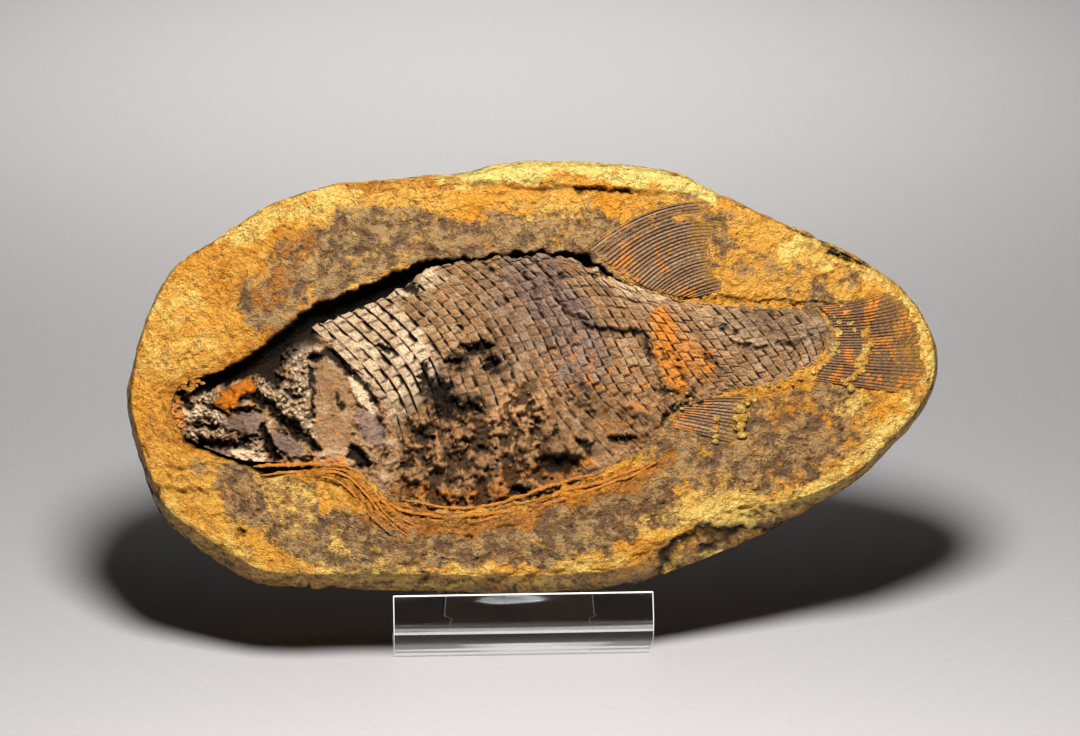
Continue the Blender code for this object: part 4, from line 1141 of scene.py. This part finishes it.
def skull_relief(u, v, wu, wv):
    """Height of bones, plates, crusts and rubble over the head's skin, and where each of them is."""
    smooth = marks(wu, wv, HEAD_PLATES)
    bare = 1 - 0.75 * smooth_step(smooth * 2.2)
    rubble = 1.1 * lumps(u, v, 2.4, 3, 63.0) + 0.6 * lumps(u, v, 0.8, 2, 67.0)
    terrace = np.floor(rubble * 2.0) / 2.0
    height = 0.7 * smooth + (0.3 * rubble + 0.8 * terrace) * bare + 0.16 * rubble
    for path, width, soft, rise in HEAD_RIDGES:
        gap = from_path(wu, wv, path)[0]
        height = height + rise * smooth_step(1 - (gap - width) / soft)
    grains = marks(wu, wv, HEAD_GRAINS)
    pebble = pebbles(u, v, 1.05, 3.0)
    height = height + grains * (0.9 * pebble + 0.5 * lumps(u, v, 1.9, 2, 65.0))
    return height, rubble, bare, grains, pebble


def glossy_lump(u, v):
    """Swell of the lump behind the snout, from 0 to 1, and its unevenness."""
    gap = from_path(*warped(u, v, 1.5, 2.6, 72.0), ORANGE_LUMP)[0]
    bumpy = 0.5 * lumps(u, v, 2.0, 2, 71.0) + 0.25 * lumps(u, v, 0.8, 2, 75.0)
    return np.sqrt(np.clip(1 - (gap / LUMP_REACH) ** 2, 0, 1)), bumpy


def build_head(material):
    """Skull bones, gill cover, granular crusts and the glossy lump, over hollows painted black as shade.
    """

    def relief(column, line):
        where, down = (HEAD_GUIDES + 0.06) * column / HEAD_ACROSS, line / HEAD_DOWN
        u, v, height = body_at(where, down)
        wu, wv = warped(u, v, 0.7, 1.6, 4.0)
        bones, rubble, bare, grains, pebble = skull_relief(u, v, wu, wv)
        lump, bumpy = glossy_lump(u, v)
        height = (height + bones) * (1 - 0.5 * smooth_step(lump * 2)) + lump * (LUMP_RISE + bumpy)
        clear = 1 - smooth_step(lump * 3)
        hu, hv = warped(u, v, 0.8, 1.4, 74.0)
        hole = marks(hu, hv, [(path, width, soft, 1.0) for path, width, soft, _ in HEAD_HOLLOWS]) * clear
        top = smooth_step((0.13 - down + 0.05 * lumps(u, v, 2.5, 2, 76.0)) / 0.08)
        top = top * smooth_step((where - 0.9) / 0.4)
        height = height - marks(hu, hv, HEAD_HOLLOWS) * clear - 1.6 * top * clear
        amber = smooth_step(lump * 2.5)
        shadow = np.maximum(hole, 0.85 * smooth_step((-0.3 - rubble) / 0.35) * bare)
        shadow = np.maximum(shadow, 0.6 * grains * (1 - smooth_step(pebble * 4)))
        shadow = np.maximum(shadow, 0.95 * top) * clear
        shadow = np.maximum(shadow, 0.5 * amber * smooth_step((-0.05 - bumpy) / 0.4))
        pale = np.maximum(marks(wu, wv, HEAD_PALE), grains * (0.35 + 0.65 * pebble))
        pale = np.maximum(pale, 0.4 * smooth_step((rubble - 0.15) / 0.5) * bare)
        rust, grey = marks(wu, wv, HEAD_RUST), marks(wu, wv, HEAD_GREY)
        tint = 0.5 + 0.5 * lumps(u, v, 5.0, 3, 78.0)
        return np.column_stack((u, v, height)), (amber, rust, pale), (tint, grey, shadow)

    return relief_piece("skull_bones", HEAD_ACROSS, HEAD_DOWN, relief, BODY_ROOT, material)


def fan_lines(roots, tips, rays, bow, reach, column, line):
    """For a fan's points: the shares across the fan and down a ray, the ray's length, and u and v."""
    share = column / (rays * RAY_COLUMNS)
    down = line / FIN_DOWN
    root = along(np.array(roots), share * (len(roots) - 1))
    tip = along(np.array(tips), share * (len(tips) - 1))
    flat = root + (tip - root) * (down * reach)[:, None]
    sideways = np.array(tips[0]) - np.array(tips[-1])
    sideways /= np.hypot(*sideways)
    flat = flat + sideways * (bow * (1 - share) * 4 * down * (1 - down))[:, None]
    return share, down, np.hypot(*(tip - root).T), *flat.T


def build_fin(name, material, roots, tips, rays, bow, rise, ridge, root_depth, segment, rust_to,
              reach, tan):
    """A fan of jointed rays, rust-stained between, that sinks into the face at its tips."""
    chance = np.random.default_rng(len(name) + rays).random((3, rays + 1))

    def relief(column, line):
        share, down, length, u, v = fan_lines(roots, tips, rays, bow, reach, column, line)
        ray = np.minimum(column // RAY_COLUMNS, rays - 1)
        start, stout, tone = chance[:, ray]
        part = (column - ray * RAY_COLUMNS) / RAY_COLUMNS + 0.08 * lumps(u, v, 2.5, 2, 5.0)
        crown = np.clip(1 - (2 * part - 1) ** 2, 0, 1)
        joint = np.exp(-(((down * length / segment + start * 3 + 0.5) % 1.0 - 0.5) / 0.16) ** 2)
        joint = joint * smooth_step((down - 0.15) / 0.2)
        fade = smooth_step((1.0 - down) / 0.6) * smooth_step(np.minimum(share, 1 - share) / 0.01)
        height = face_height(u, v) + root_depth * (1 - down) ** 2
        height = height + rise - (rise + TIP_SINK) * smooth_step((down - 0.5) / 0.5)
        relief_of_ray = ridge * (0.55 + 0.9 * stout) * (crown - 0.35) - 0.16 * joint * crown
        height = height + relief_of_ray * (0.25 + 0.75 * fade) + 0.1 * lumps(u, v, 1.0, 2, 8.0)
        worn = smooth_step((down - 0.5 + 0.2 * lumps(u, v, 3.0, 2, 15.0)) / 0.45)
        groove = smooth_step((0.5 - crown) / 0.4)
        shadow = (groove * (1.0 - 0.2 * down) + 0.3 * joint * (1 - groove)) * (1 - 0.3 * worn)
        rust = smooth_step((rust_to - down) / 0.35) * smooth_step(0.5 + 1.2 * lumps(u, v, 4.0, 2, 12.0))
        marking = worn, rust * (0.2 + 0.45 * crown), 0.6 * tan * tone * crown
        return np.column_stack((u, v, height)), marking, (0.1 + tan * tone, 0.3 * (1 - worn), shadow)

    return relief_piece(name, rays * RAY_COLUMNS, FIN_DOWN, relief, FIN_ROOT, material)


def build_bone(name, path, radius, height, material):
    """A thin bone or ridge on the face: a globe drawn out along its path, rough and uneven."""
    deselect()
    spokes, steps = 10, 120
    bpy.ops.mesh.primitive_uv_sphere_add(segments=spokes, ring_count=steps, radius=1)
    bone = take(name)
    globe = read_points(bone.data)
    share = np.arccos(np.clip(-globe[:, 2], -1, 1)) / math.pi
    angle = np.arctan2(globe[:, 1], globe[:, 0])
    at = share * (len(path) - 1)
    flat = along(np.array(path), at)
    ahead = along(np.array(path), at + 0.02) - along(np.array(path), at - 0.02)
    ahead /= np.hypot(*ahead.T)[:, None]
    thick = radius * np.sin(math.pi * np.clip(share, 0, 1)) ** 0.35
    thick = thick * (1 + 0.4 * lumps(flat[:, 0], flat[:, 1], 2.4, 3, radius * 9))
    thick = thick * (1 + 0.55 * lumps(*(flat.T + (np.cos(angle), np.sin(angle))), 0.7, 2, radius))
    thick[(share < 1e-4) | (share > 1 - 1e-4)] = 0.0
    wobble = 0.35 * lumps(flat[:, 0], flat[:, 1], 5.0, 2, radius * 5)
    left = np.stack((-ahead[:, 1], ahead[:, 0]), axis=1)
    flat = flat + left * (np.cos(angle) * thick + wobble)[:, None]
    w = face_height(flat[:, 0], flat[:, 1]) + height + np.sin(angle) * thick * 0.8
    write_points(bone.data, np.column_stack((flat, w)))
    rust = 0.85 + 0.5 * lumps(flat[:, 0], flat[:, 1], 2.0, 3, 3.0)
    low = smooth_step(-np.sin(angle) - 0.1)
    zero = np.zeros(len(w))
    write_layer(bone.data, "marks", (zero, rust, zero))
    tint = 0.5 + 0.5 * lumps(flat[:, 0], flat[:, 1], 2.0, 2, 6.0)
    # Painted shade, strongest on the bone's underside
    write_layer(bone.data, "tones", (tint, zero, 0.15 + 0.6 * low))
    stand_up(bone)
    outwards(bone)
    finish_piece(bone, material)
    return bone


def build_beads(material):
    """Small crusts strewn along lines on the face, joined into one piece."""
    rng = np.random.default_rng(31)
    beads, spots, sizes = [], [], []
    for path, stray, count, size in BEADS:
        at = np.sort(rng.random(count)) * (len(path) - 1)
        spots.append(along(np.array(path), at) + rng.normal(0, stray, (count, 2)))
        sizes.append(size * rng.uniform(0.55, 1.25, count))
    spots, sizes = np.concatenate(spots), np.concatenate(sizes)
    heights = face_height(spots[:, 0], spots[:, 1]) + np.where(spots[:, 0] > 26, 0.5, -0.3)
    for (u, v), w, size in zip(spots, heights, sizes):
        deselect()
        bpy.ops.mesh.primitive_ico_sphere_add(subdivisions=2, radius=size)
        bead = take("crust_beads")
        points = read_points(bead.data) * rng.uniform((0.7, 0.6, 0.6), (1.3, 1.0, 0.9))
        points = points * (1 + 0.35 * lumps(*(points + u).T[:2], size, 2, u, points[:, 2]))[:, None]
        write_points(bead.data, points + (u, v, w))
        beads.append(bead)
    deselect()
    for bead in beads:
        bead.select_set(True)
    bpy.context.view_layer.objects.active = beads[0]
    bpy.ops.object.join()
    crust = beads[0]
    u, v = read_points(crust.data)[:, :2].T
    zero = np.zeros(len(u))
    rust = 0.6 * smooth_step((-60 - u) / 2)
    write_layer(crust.data, "marks", (zero, rust, (1 - rust) * (0.62 + 0.4 * lumps(u, v, 1.2, 2, 5.0))))
    write_layer(crust.data, "tones", (0.5 + zero, zero, 0.2 + zero))
    stand_up(crust)
    finish_piece(crust, material)
    return crust


# ---------------------------------------------------------------- materials

def new_group(name, inputs, outputs):
    """An empty shader node group with named inputs and outputs, and its two end nodes."""
    group = bpy.data.node_groups.new(name, "ShaderNodeTree")
    for label, kind, value in inputs:
        socket = group.interface.new_socket(name=label, in_out="INPUT", socket_type=kind)
        socket.default_value = value
    for label, kind in outputs:
        group.interface.new_socket(name=label, in_out="OUTPUT", socket_type=kind)
    return group, group.nodes.new("NodeGroupInput"), group.nodes.new("NodeGroupOutput")


def node(tree, kind, links=None, **values):
    """A node with its settings made and its inputs set or linked."""
    made = tree.nodes.new(kind)
    for key, value in values.items():
        setattr(made, key, value)
    for key, value in (links or {}).items():
        socket = made.inputs[key]
        if isinstance(value, bpy.types.NodeSocket):
            tree.links.new(value, socket)
        else:
            socket.default_value = value
    return made


def mixed(tree, mask, low, high):
    """A colour between low and high by a mask."""
    mix = node(tree, "ShaderNodeMix", data_type="RGBA")
    for key, value in ((0, mask), (6, low), (7, high)):
        if isinstance(value, bpy.types.NodeSocket):
            tree.links.new(value, mix.inputs[key])
        elif key == 0:
            mix.inputs[key].default_value = value
        else:
            mix.inputs[key].default_value = (*value, 1.0)
    return mix.outputs[2]


def calc(tree, operation, *values):
    """A sum of values or sockets."""
    made = node(tree, "ShaderNodeMath", operation=operation)
    for k, value in enumerate(values):
        if isinstance(value, bpy.types.NodeSocket):
            tree.links.new(value, made.inputs[k])
        else:
            made.inputs[k].default_value = value
    return made.outputs[0]


def ramp(tree, value, low, high):
    """0 up to low, 1 from high on, and smooth between."""
    made = node(tree, "ShaderNodeMapRange", {"Value": value, "From Min": low, "From Max": high},
                interpolation_type="SMOOTHSTEP", clamp=True)
    return made.outputs[0]


def grain_group():
    """Sandy grain: coarse and fine flecks, and a height for bump."""
    group, start, end = new_group(
        "stone_grain", (("Size", "NodeSocketFloat", 1.0), ("Pits", "NodeSocketFloat", 0.5)),
        (("Mottle", "NodeSocketFloat"), ("Fleck", "NodeSocketFloat"), ("Height", "NodeSocketFloat")))
    place = node(group, "ShaderNodeTexCoord").outputs["Object"]
    scale = calc(group, "DIVIDE", 1000.0, start.outputs["Size"])
    broad = calc(group, "MULTIPLY", scale, 0.16)
    sandy = calc(group, "MULTIPLY", scale, 1.3)
    coarse = node(group, "ShaderNodeTexNoise",
                  {"Vector": place, "Scale": broad, "Detail": 6.0, "Roughness": 0.62})
    fine = node(group, "ShaderNodeTexNoise",
                {"Vector": place, "Scale": scale, "Detail": 5.0, "Roughness": 0.7})
    sand = node(group, "ShaderNodeTexVoronoi", {"Vector": place, "Scale": sandy})
    hole = ramp(group, sand.outputs["Distance"], 0.45, 0.05)
    pits = calc(group, "MULTIPLY", hole, start.outputs["Pits"])
    height = calc(group, "SUBTRACT", calc(group, "MULTIPLY", fine.outputs["Fac"], 1.6), pits)
    group.links.new(ramp(group, coarse.outputs["Fac"], 0.32, 0.68), end.inputs["Mottle"])
    group.links.new(ramp(group, fine.outputs["Fac"], 0.36, 0.64), end.inputs["Fleck"])
    group.links.new(height, end.inputs["Height"])
    return group


def ragged_group():
    """Breaks the soft edge of a mark into grains, so that it reads as a stain in stone."""
    group, start, end = new_group(
        "ragged_mark", (("Mark", "NodeSocketFloat", 0.0), ("Size", "NodeSocketFloat", 1.0),
                        ("Break", "NodeSocketFloat", 0.5)), (("Mask", "NodeSocketFloat"),))
    place = node(group, "ShaderNodeTexCoord").outputs["Object"]
    scale = calc(group, "DIVIDE", 1000.0, start.outputs["Size"])
    cloud = node(group, "ShaderNodeTexNoise",
                 {"Vector": place, "Scale": scale, "Detail": 8.0, "Roughness": 0.78})
    spread = calc(group, "SUBTRACT", cloud.outputs["Fac"], 0.5)
    moved = calc(group, "MULTIPLY_ADD", calc(group, "MULTIPLY", spread, start.outputs["Break"]), 4.0,
                 start.outputs["Mark"])
    group.links.new(ramp(group, moved, 0.22, 0.78), end.inputs["Mask"])
    return group


def group_node(tree, group, **values):
    """A group with its inputs set or linked."""
    made = tree.nodes.new("ShaderNodeGroup")
    made.node_tree = group
    for key, value in values.items():
        socket = made.inputs[key]
        if isinstance(value, bpy.types.NodeSocket):
            tree.links.new(value, socket)
        else:
            socket.default_value = value
    return made


def new_material(name):
    """A new material, its node tree and its shader."""
    material = bpy.data.materials.new(name)
    material.use_nodes = True
    return material, material.node_tree, material.node_tree.nodes["Principled BSDF"]


def channels(tree, name):
    """The three values that a piece keeps under a name."""
    layer = node(tree, "ShaderNodeAttribute", attribute_name=name)
    return node(tree, "ShaderNodeSeparateColor", {"Color": layer.outputs["Color"]}).outputs


def bumped(tree, height, distance, strength):
    """A normal raised by a height, over a distance in metres."""
    sockets = {"Height": height, "Distance": distance, "Strength": strength}
    return node(tree, "ShaderNodeBump", sockets).outputs[0]


def stone_material(look):
    """Ochre ironstone with grey-brown halo, rust, cream crust with painted highlight along the rims, and
    painted shade.
    """
    material, tree, shader = new_material("nodule_stone")
    grain = group_node(tree, bpy.data.node_groups["stone_grain"], Size=0.9, Pits=0.35)
    coarse = group_node(tree, bpy.data.node_groups["stone_grain"], Size=3.4, Pits=0.3)
    broad = group_node(tree, bpy.data.node_groups["stone_grain"], Size=11.0, Pits=0.0)
    ragged = bpy.data.node_groups["ragged_mark"]
    stain, rust, bright = channels(tree, "marks")
    dark = channels(tree, "tones")[2]
    stain = group_node(tree, ragged, Mark=stain, Size=3.2, Break=1.0).outputs[0]
    rust = group_node(tree, ragged, Mark=rust, Size=2.4, Break=1.1).outputs[0]
    # The cream mask holds crust, and painted highlight along the rims
    crust = group_node(tree, ragged, Mark=bright, Size=3.6, Break=0.9).outputs[0]
    bright = calc(tree, "MULTIPLY", crust, calc(tree, "MULTIPLY_ADD", bright, 0.8, 0.1))
    deep = tuple(0.55 * part for part in look.rust[:])
    base = mixed(tree, calc(tree, "MULTIPLY", coarse.outputs["Mottle"], 0.4), look.ochre, look.cream)
    base = mixed(tree, calc(tree, "MULTIPLY", broad.outputs["Fleck"], 0.3), base, look.rust)
    base = mixed(tree, bright, base, look.cream)
    thin = calc(tree, "SUBTRACT", 1.0, grain.outputs["Fleck"])
    base = mixed(tree, calc(tree, "MULTIPLY", thin, 0.42), base, look.umber)
    halo = mixed(tree, ramp(tree, coarse.outputs["Fleck"], 0.2, 0.8), look.stain, look.olive)
    halo = mixed(tree, calc(tree, "MULTIPLY", grain.outputs["Fleck"], 0.13), halo, look.ochre)
    free = calc(tree, "MULTIPLY_ADD", crust, -0.85, 1.0)
    # The stain mask also carries the painted shade under the broken edge
    base = mixed(tree, calc(tree, "MULTIPLY", calc(tree, "MULTIPLY", stain, free), 0.9), base, halo)
    reds = mixed(tree, thin, look.rust, deep)
    base = mixed(tree, calc(tree, "MULTIPLY", rust, 0.74), base, reds)
    # Painted shade: cracks, pits, seams and the hollow's lip, wall and floor go towards black
    base = mixed(tree, dark, base, look.char)
    tree.links.new(base, shader.inputs["Base Color"])
    tree.links.new(ramp(tree, grain.outputs["Fleck"], -1.5, 4.0), shader.inputs["Roughness"])
    shader.inputs["Specular IOR Level"].default_value = 0.18
    height = calc(tree, "MULTIPLY_ADD", coarse.outputs["Height"], 2.2, grain.outputs["Height"])
    tree.links.new(bumped(tree, height, 0.0013, 0.95), shader.inputs["Normal"])
    return material


def fish_material(look, name, gloss, worn_colour, worn_gloss):
    """Brown enamel and bone: tile by tile tone, mauve and pale areas with painted highlight on raised tile
    edges, rust, and painted shade in gaps and hollows.
    """
    material, tree, shader = new_material(name)
    grain = group_node(tree, bpy.data.node_groups["stone_grain"], Size=0.7, Pits=0.4)
    coarse = group_node(tree, bpy.data.node_groups["stone_grain"], Size=2.2, Pits=0.3)
    ragged = bpy.data.node_groups["ragged_mark"]
    worn, rust, pale = channels(tree, "marks")
    tint, mauve, dark = channels(tree, "tones")
    rust = group_node(tree, ragged, Mark=rust, Size=2.0, Break=1.0).outputs[0]
    thin = calc(tree, "SUBTRACT", 1.0, grain.outputs["Fleck"])
    base = mixed(tree, mauve, look.enamel, look.mauve)
    base = mixed(tree, calc(tree, "MULTIPLY", ramp(tree, tint, 0.6, 0.0), 0.4), base, look.dark)
    base = mixed(tree, calc(tree, "MULTIPLY", ramp(tree, tint, 0.5, 1.0), 0.22), base, look.bone)
    base = mixed(tree, calc(tree, "MULTIPLY", coarse.outputs["Mottle"], 0.4), base, look.dark)
    base = mixed(tree, calc(tree, "MULTIPLY", coarse.outputs["Fleck"], 0.16), base, look.rust)
    # Pale areas, with painted highlight on the tiles' raised edges
    base = mixed(tree, calc(tree, "MULTIPLY", pale, 0.9), base, look.bone)
    base = mixed(tree, worn, base, worn_colour)
    base = mixed(tree, calc(tree, "MULTIPLY", thin, 0.32), base, look.dark)
    base = mixed(tree, calc(tree, "MULTIPLY", rust, 0.9), base, look.rust)
    # Painted shade: gaps, holes, rubble hollows, grooves between rays, bone undersides and the walls under
    # the reliefs go towards black
    base = mixed(tree, calc(tree, "MULTIPLY", dark, 0.97), base, bpy.context.scene.fossil_stone.char)
    tree.links.new(base, shader.inputs["Base Color"])
    low, high = gloss
    rough = node(tree, "ShaderNodeMapRange",
                 {"Value": grain.outputs["Fleck"], "To Min": low, "To Max": high})
    shine = calc(tree, "MULTIPLY_ADD", worn, worn_gloss, rough.outputs[0])
    tree.links.new(shine, shader.inputs["Roughness"])
    shader.inputs["Specular IOR Level"].default_value = 0.3
    height = calc(tree, "MULTIPLY_ADD", coarse.outputs["Height"], 1.2, grain.outputs["Height"])
    tree.links.new(bumped(tree, height, 0.0009, 0.9), shader.inputs["Normal"])
    return material


def acrylic_material():
    """Clear polished acrylic with the faintest handling haze."""
    material, tree, shader = new_material("polished_acrylic")
    place = node(tree, "ShaderNodeTexCoord").outputs["Object"]
    haze = node(tree, "ShaderNodeTexNoise", {"Vector": place, "Scale": 90.0, "Detail": 4.0})
    tree.links.new(node(tree, "ShaderNodeMapRange", {"Value": haze.outputs["Fac"], "From Min": 0.45,
                                                     "To Min": 0.015, "To Max": 0.10}).outputs[0],
                   shader.inputs["Roughness"])
    shader.inputs["Base Color"].default_value = (0.975, 0.985, 0.985, 1.0)
    shader.inputs["Transmission Weight"].default_value = 1.0
    shader.inputs["IOR"].default_value = ACRYLIC_IOR
    edge_shader = new_material("acrylic_edge")[2]
    edge_shader.inputs["Base Color"].default_value = (0.96, 0.97, 0.98, 1.0)
    edge_shader.inputs["Transmission Weight"].default_value = 0.25
    edge_shader.inputs["Roughness"].default_value = 0.4
    edge_shader.inputs["IOR"].default_value = ACRYLIC_IOR
    return material


# ---------------------------------------------------------------- operators

class FOSSIL_OT_materials(bpy.types.Operator):
    """Make the shared node groups and the materials"""
    bl_idname = "fossil.materials"
    bl_label = "Materials"

    def execute(self, context):
        grain_group()
        ragged_group()
        stone_material(context.scene.fossil_stone)
        look = context.scene.fossil_fish
        fish_material(look, "scale_enamel", (0.5, 0.75), look.loam, 0.2)
        fish_material(look, "fossil_bone", (0.5, 0.85), look.amber, -0.25)
        fish_material(look, "fin_rays", (0.5, 0.85), look.sand, 0.1)
        acrylic_material()
        return {"FINISHED"}


class FOSSIL_OT_stone(bpy.types.Operator):
    """Build the nodule with its split face and the hollow that holds the fish"""
    bl_idname = "fossil.stone"
    bl_label = "Stone"

    def execute(self, context):
        build_stone(context.scene.fossil_stone, bpy.data.materials["nodule_stone"])
        return {"FINISHED"}


class FOSSIL_OT_flank(bpy.types.Operator):
    """Build the rows of scales"""
    bl_idname = "fossil.flank"
    bl_label = "Scales"

    def execute(self, context):
        build_flank(bpy.data.materials["scale_enamel"])
        return {"FINISHED"}


class FOSSIL_OT_head(bpy.types.Operator):
    """Build the skull bones and the gill cover"""
    bl_idname = "fossil.head"
    bl_label = "Head"

    def execute(self, context):
        build_head(bpy.data.materials["fossil_bone"])
        return {"FINISHED"}


class FOSSIL_OT_fins(bpy.types.Operator):
    """Build the fans of fin rays"""
    bl_idname = "fossil.fins"
    bl_label = "Fins"

    def execute(self, context):
        for name, fin in FINS.items():
            build_fin(name, bpy.data.materials["fin_rays"], **fin)
        build_beads(bpy.data.materials["nodule_stone"])
        return {"FINISHED"}


class FOSSIL_OT_bones(bpy.types.Operator):
    """Build the rust rim and the thin bones along the belly"""
    bl_idname = "fossil.bones"
    bl_label = "Bones and rim"

    def execute(self, context):
        for name, (path, radius, height) in BONES.items():
            build_bone(name, path, radius, height, bpy.data.materials["fossil_bone"])
        return {"FINISHED"}


class FOSSIL_OT_easel(bpy.types.Operator):
    """Finish the clear easel with polished edges"""
    bl_idname = "fossil.easel"
    bl_label = "Easel"

    def execute(self, context):
        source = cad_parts["clear_easel"]
        easel = bpy.data.objects.new("polished_easel", source.data.copy())
        context.scene.collection.objects.link(easel)
        easel.matrix_world = source.matrix_world
        easel.data.materials.clear()
        easel.data.materials.append(bpy.data.materials["polished_acrylic"])
        easel.data.materials.append(bpy.data.materials["acrylic_edge"])
        pick_alone(easel)
        bpy.ops.object.transform_apply(location=True, rotation=True, scale=True)
        bpy.ops.object.mode_set(mode="EDIT")
        bpy.ops.mesh.select_all(action="SELECT")
        bpy.ops.mesh.remove_doubles(threshold=1e-6)
        bpy.ops.mesh.dissolve_limited(angle_limit=math.radians(1.0))
        bpy.ops.mesh.normals_make_consistent(inside=False)
        bpy.ops.object.mode_set(mode="OBJECT")
        bevel = easel.modifiers.new("polished_edge", "BEVEL")
        bevel.width = EASEL_EDGE
        bevel.segments = 2
        bevel.limit_method = "ANGLE"
        bevel.angle_limit = math.radians(40)
        bevel.material = 1
        bpy.ops.object.modifier_apply(modifier=bevel.name)
        bpy.ops.object.shade_smooth_by_angle(angle=math.radians(28))
        # Clear sheet would be given a nearly black shadow, so soft light passes it by
        easel.visible_shadow = False
        easel.visible_diffuse = False
        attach(easel, "root")
        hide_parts("clear_easel")
        return {"FINISHED"}


class FOSSIL_OT_stage(bpy.types.Operator):
    """Lay the pale floor, hang the lights and set the camera"""
    bl_idname = "fossil.stage"
    bl_label = "Stage"

    def execute(self, context):
        look = context.scene.fossil_stage
        lay_floor(look)
        slab = Vector(SLAB_PLACE) * MM
        hang_light("key_light", KEY_PLACE, slab, look.key_size, look.key_power, KEY_SPREAD)
        hang_light("background_light", BACK_PLACE, Vector(BACK_AIM), BACK_SIZE, look.back_power,
                   BACK_SPREAD)
        light_world(look)
        set_camera()
        context.scene.view_settings.view_transform = "Standard"
        return {"FINISHED"}


def lay_floor(look):
    """A plain pale paper floor with a faint grain."""
    deselect()
    bpy.ops.mesh.primitive_plane_add(size=look.floor_size)
    floor = take("floor")
    material, tree, shader = new_material("floor_paper")
    shader.inputs["Base Color"].default_value = (*look.floor, 1.0)
    shader.inputs["Roughness"].default_value = 0.7
    place = node(tree, "ShaderNodeTexCoord").outputs["Object"]
    grain = node(tree, "ShaderNodeTexNoise",
                 {"Vector": place, "Scale": 700.0, "Detail": 4.0, "Roughness": 0.7})
    paler = tuple(1.1 * part for part in look.floor[:])
    darker = tuple(0.9 * part for part in look.floor[:])
    tree.links.new(mixed(tree, grain.outputs["Fac"], darker, paler), shader.inputs["Base Color"])
    floor.data.materials.append(material)


def hang_light(name, place, target, size, power, spread):
    """A round soft light aimed at a spot, and left out of reflections."""
    lamp = bpy.data.lights.new(name, "AREA")
    lamp.shape = "DISK"
    lamp.size = size
    lamp.energy = power
    lamp.spread = math.radians(spread)
    holder = bpy.data.objects.new(name, lamp)
    bpy.context.scene.collection.objects.link(holder)
    holder.location = place
    holder.visible_glossy = False
    holder.rotation_euler = (target - holder.location).to_track_quat("-Z", "Y").to_euler()


def light_world(look):
    """An even, weak fill from all round."""
    world = bpy.data.worlds.new("studio")
    world.use_nodes = True
    background = world.node_tree.nodes["Background"]
    background.inputs["Color"].default_value = (0.86, 0.86, 0.88, 1.0)
    background.inputs["Strength"].default_value = look.sky
    bpy.context.scene.world = world


def set_camera():
    """A long lens square to the slab's face, a little to its left."""
    matrix = slab_matrix()
    aim = matrix @ (Vector((*AIM, 0.0)) * MM)
    turn, lift = math.radians(CAMERA_AZIMUTH), math.radians(CAMERA_ELEVATION)
    back = Vector((math.sin(turn) * math.cos(lift), -math.cos(turn) * math.cos(lift), math.sin(lift)))
    camera = bpy.data.objects.new("camera", bpy.data.cameras.new("camera"))
    bpy.context.scene.collection.objects.link(camera)
    camera.location = aim + back * CAMERA_DISTANCE
    camera.rotation_euler = (-back).to_track_quat("-Z", "Y").to_euler()
    camera.data.lens = camera.data.sensor_width * CAMERA_DISTANCE / (IMAGE_WIDTH / PIXELS_PER_MM * MM)
    bpy.context.scene.camera = camera


class FOSSIL_PT_panel(bpy.types.Panel):
    """Sizes, colours and steps of the fossil slab"""
    bl_idname = "FOSSIL_PT_panel"
    bl_label = "Fossil fish slab"
    bl_space_type = "VIEW_3D"
    bl_region_type = "UI"
    bl_category = "Fossil"

    def draw(self, context):
        for group in ("fossil_stone", "fossil_fish", "fossil_stage"):
            look = getattr(context.scene, group)
            box = self.layout.box()
            for key in look.__annotations__:
                box.prop(look, key)
        for step in STEPS:
            self.layout.operator(step.bl_idname)


STEPS = (FOSSIL_OT_materials, FOSSIL_OT_stone, FOSSIL_OT_flank, FOSSIL_OT_head, FOSSIL_OT_fins,
         FOSSIL_OT_bones, FOSSIL_OT_easel, FOSSIL_OT_stage)
GROUPS = {"fossil_stone": FOSSIL_PG_stone, "fossil_fish": FOSSIL_PG_fish, "fossil_stage": FOSSIL_PG_stage}


def register():
    """Registers the groups of settings, the operators and the panel."""
    for name, group in GROUPS.items():
        bpy.utils.register_class(group)
        setattr(bpy.types.Scene, name, bpy.props.PointerProperty(type=group))
    for kind in (*STEPS, FOSSIL_PT_panel):
        bpy.utils.register_class(kind)


def unregister():
    """Takes all of them back."""
    for kind in reversed((*STEPS, FOSSIL_PT_panel)):
        bpy.utils.unregister_class(kind)
    for name, group in GROUPS.items():
        delattr(bpy.types.Scene, name)
        bpy.utils.unregister_class(group)


def main():
    """Builds the whole object."""
    register()
    bpy.ops.fossil.materials()
    bpy.ops.fossil.stone()
    bpy.ops.fossil.flank()
    bpy.ops.fossil.head()
    bpy.ops.fossil.fins()
    bpy.ops.fossil.bones()
    bpy.ops.fossil.easel()
    bpy.ops.fossil.stage()


if __name__ == "__main__":
    main()
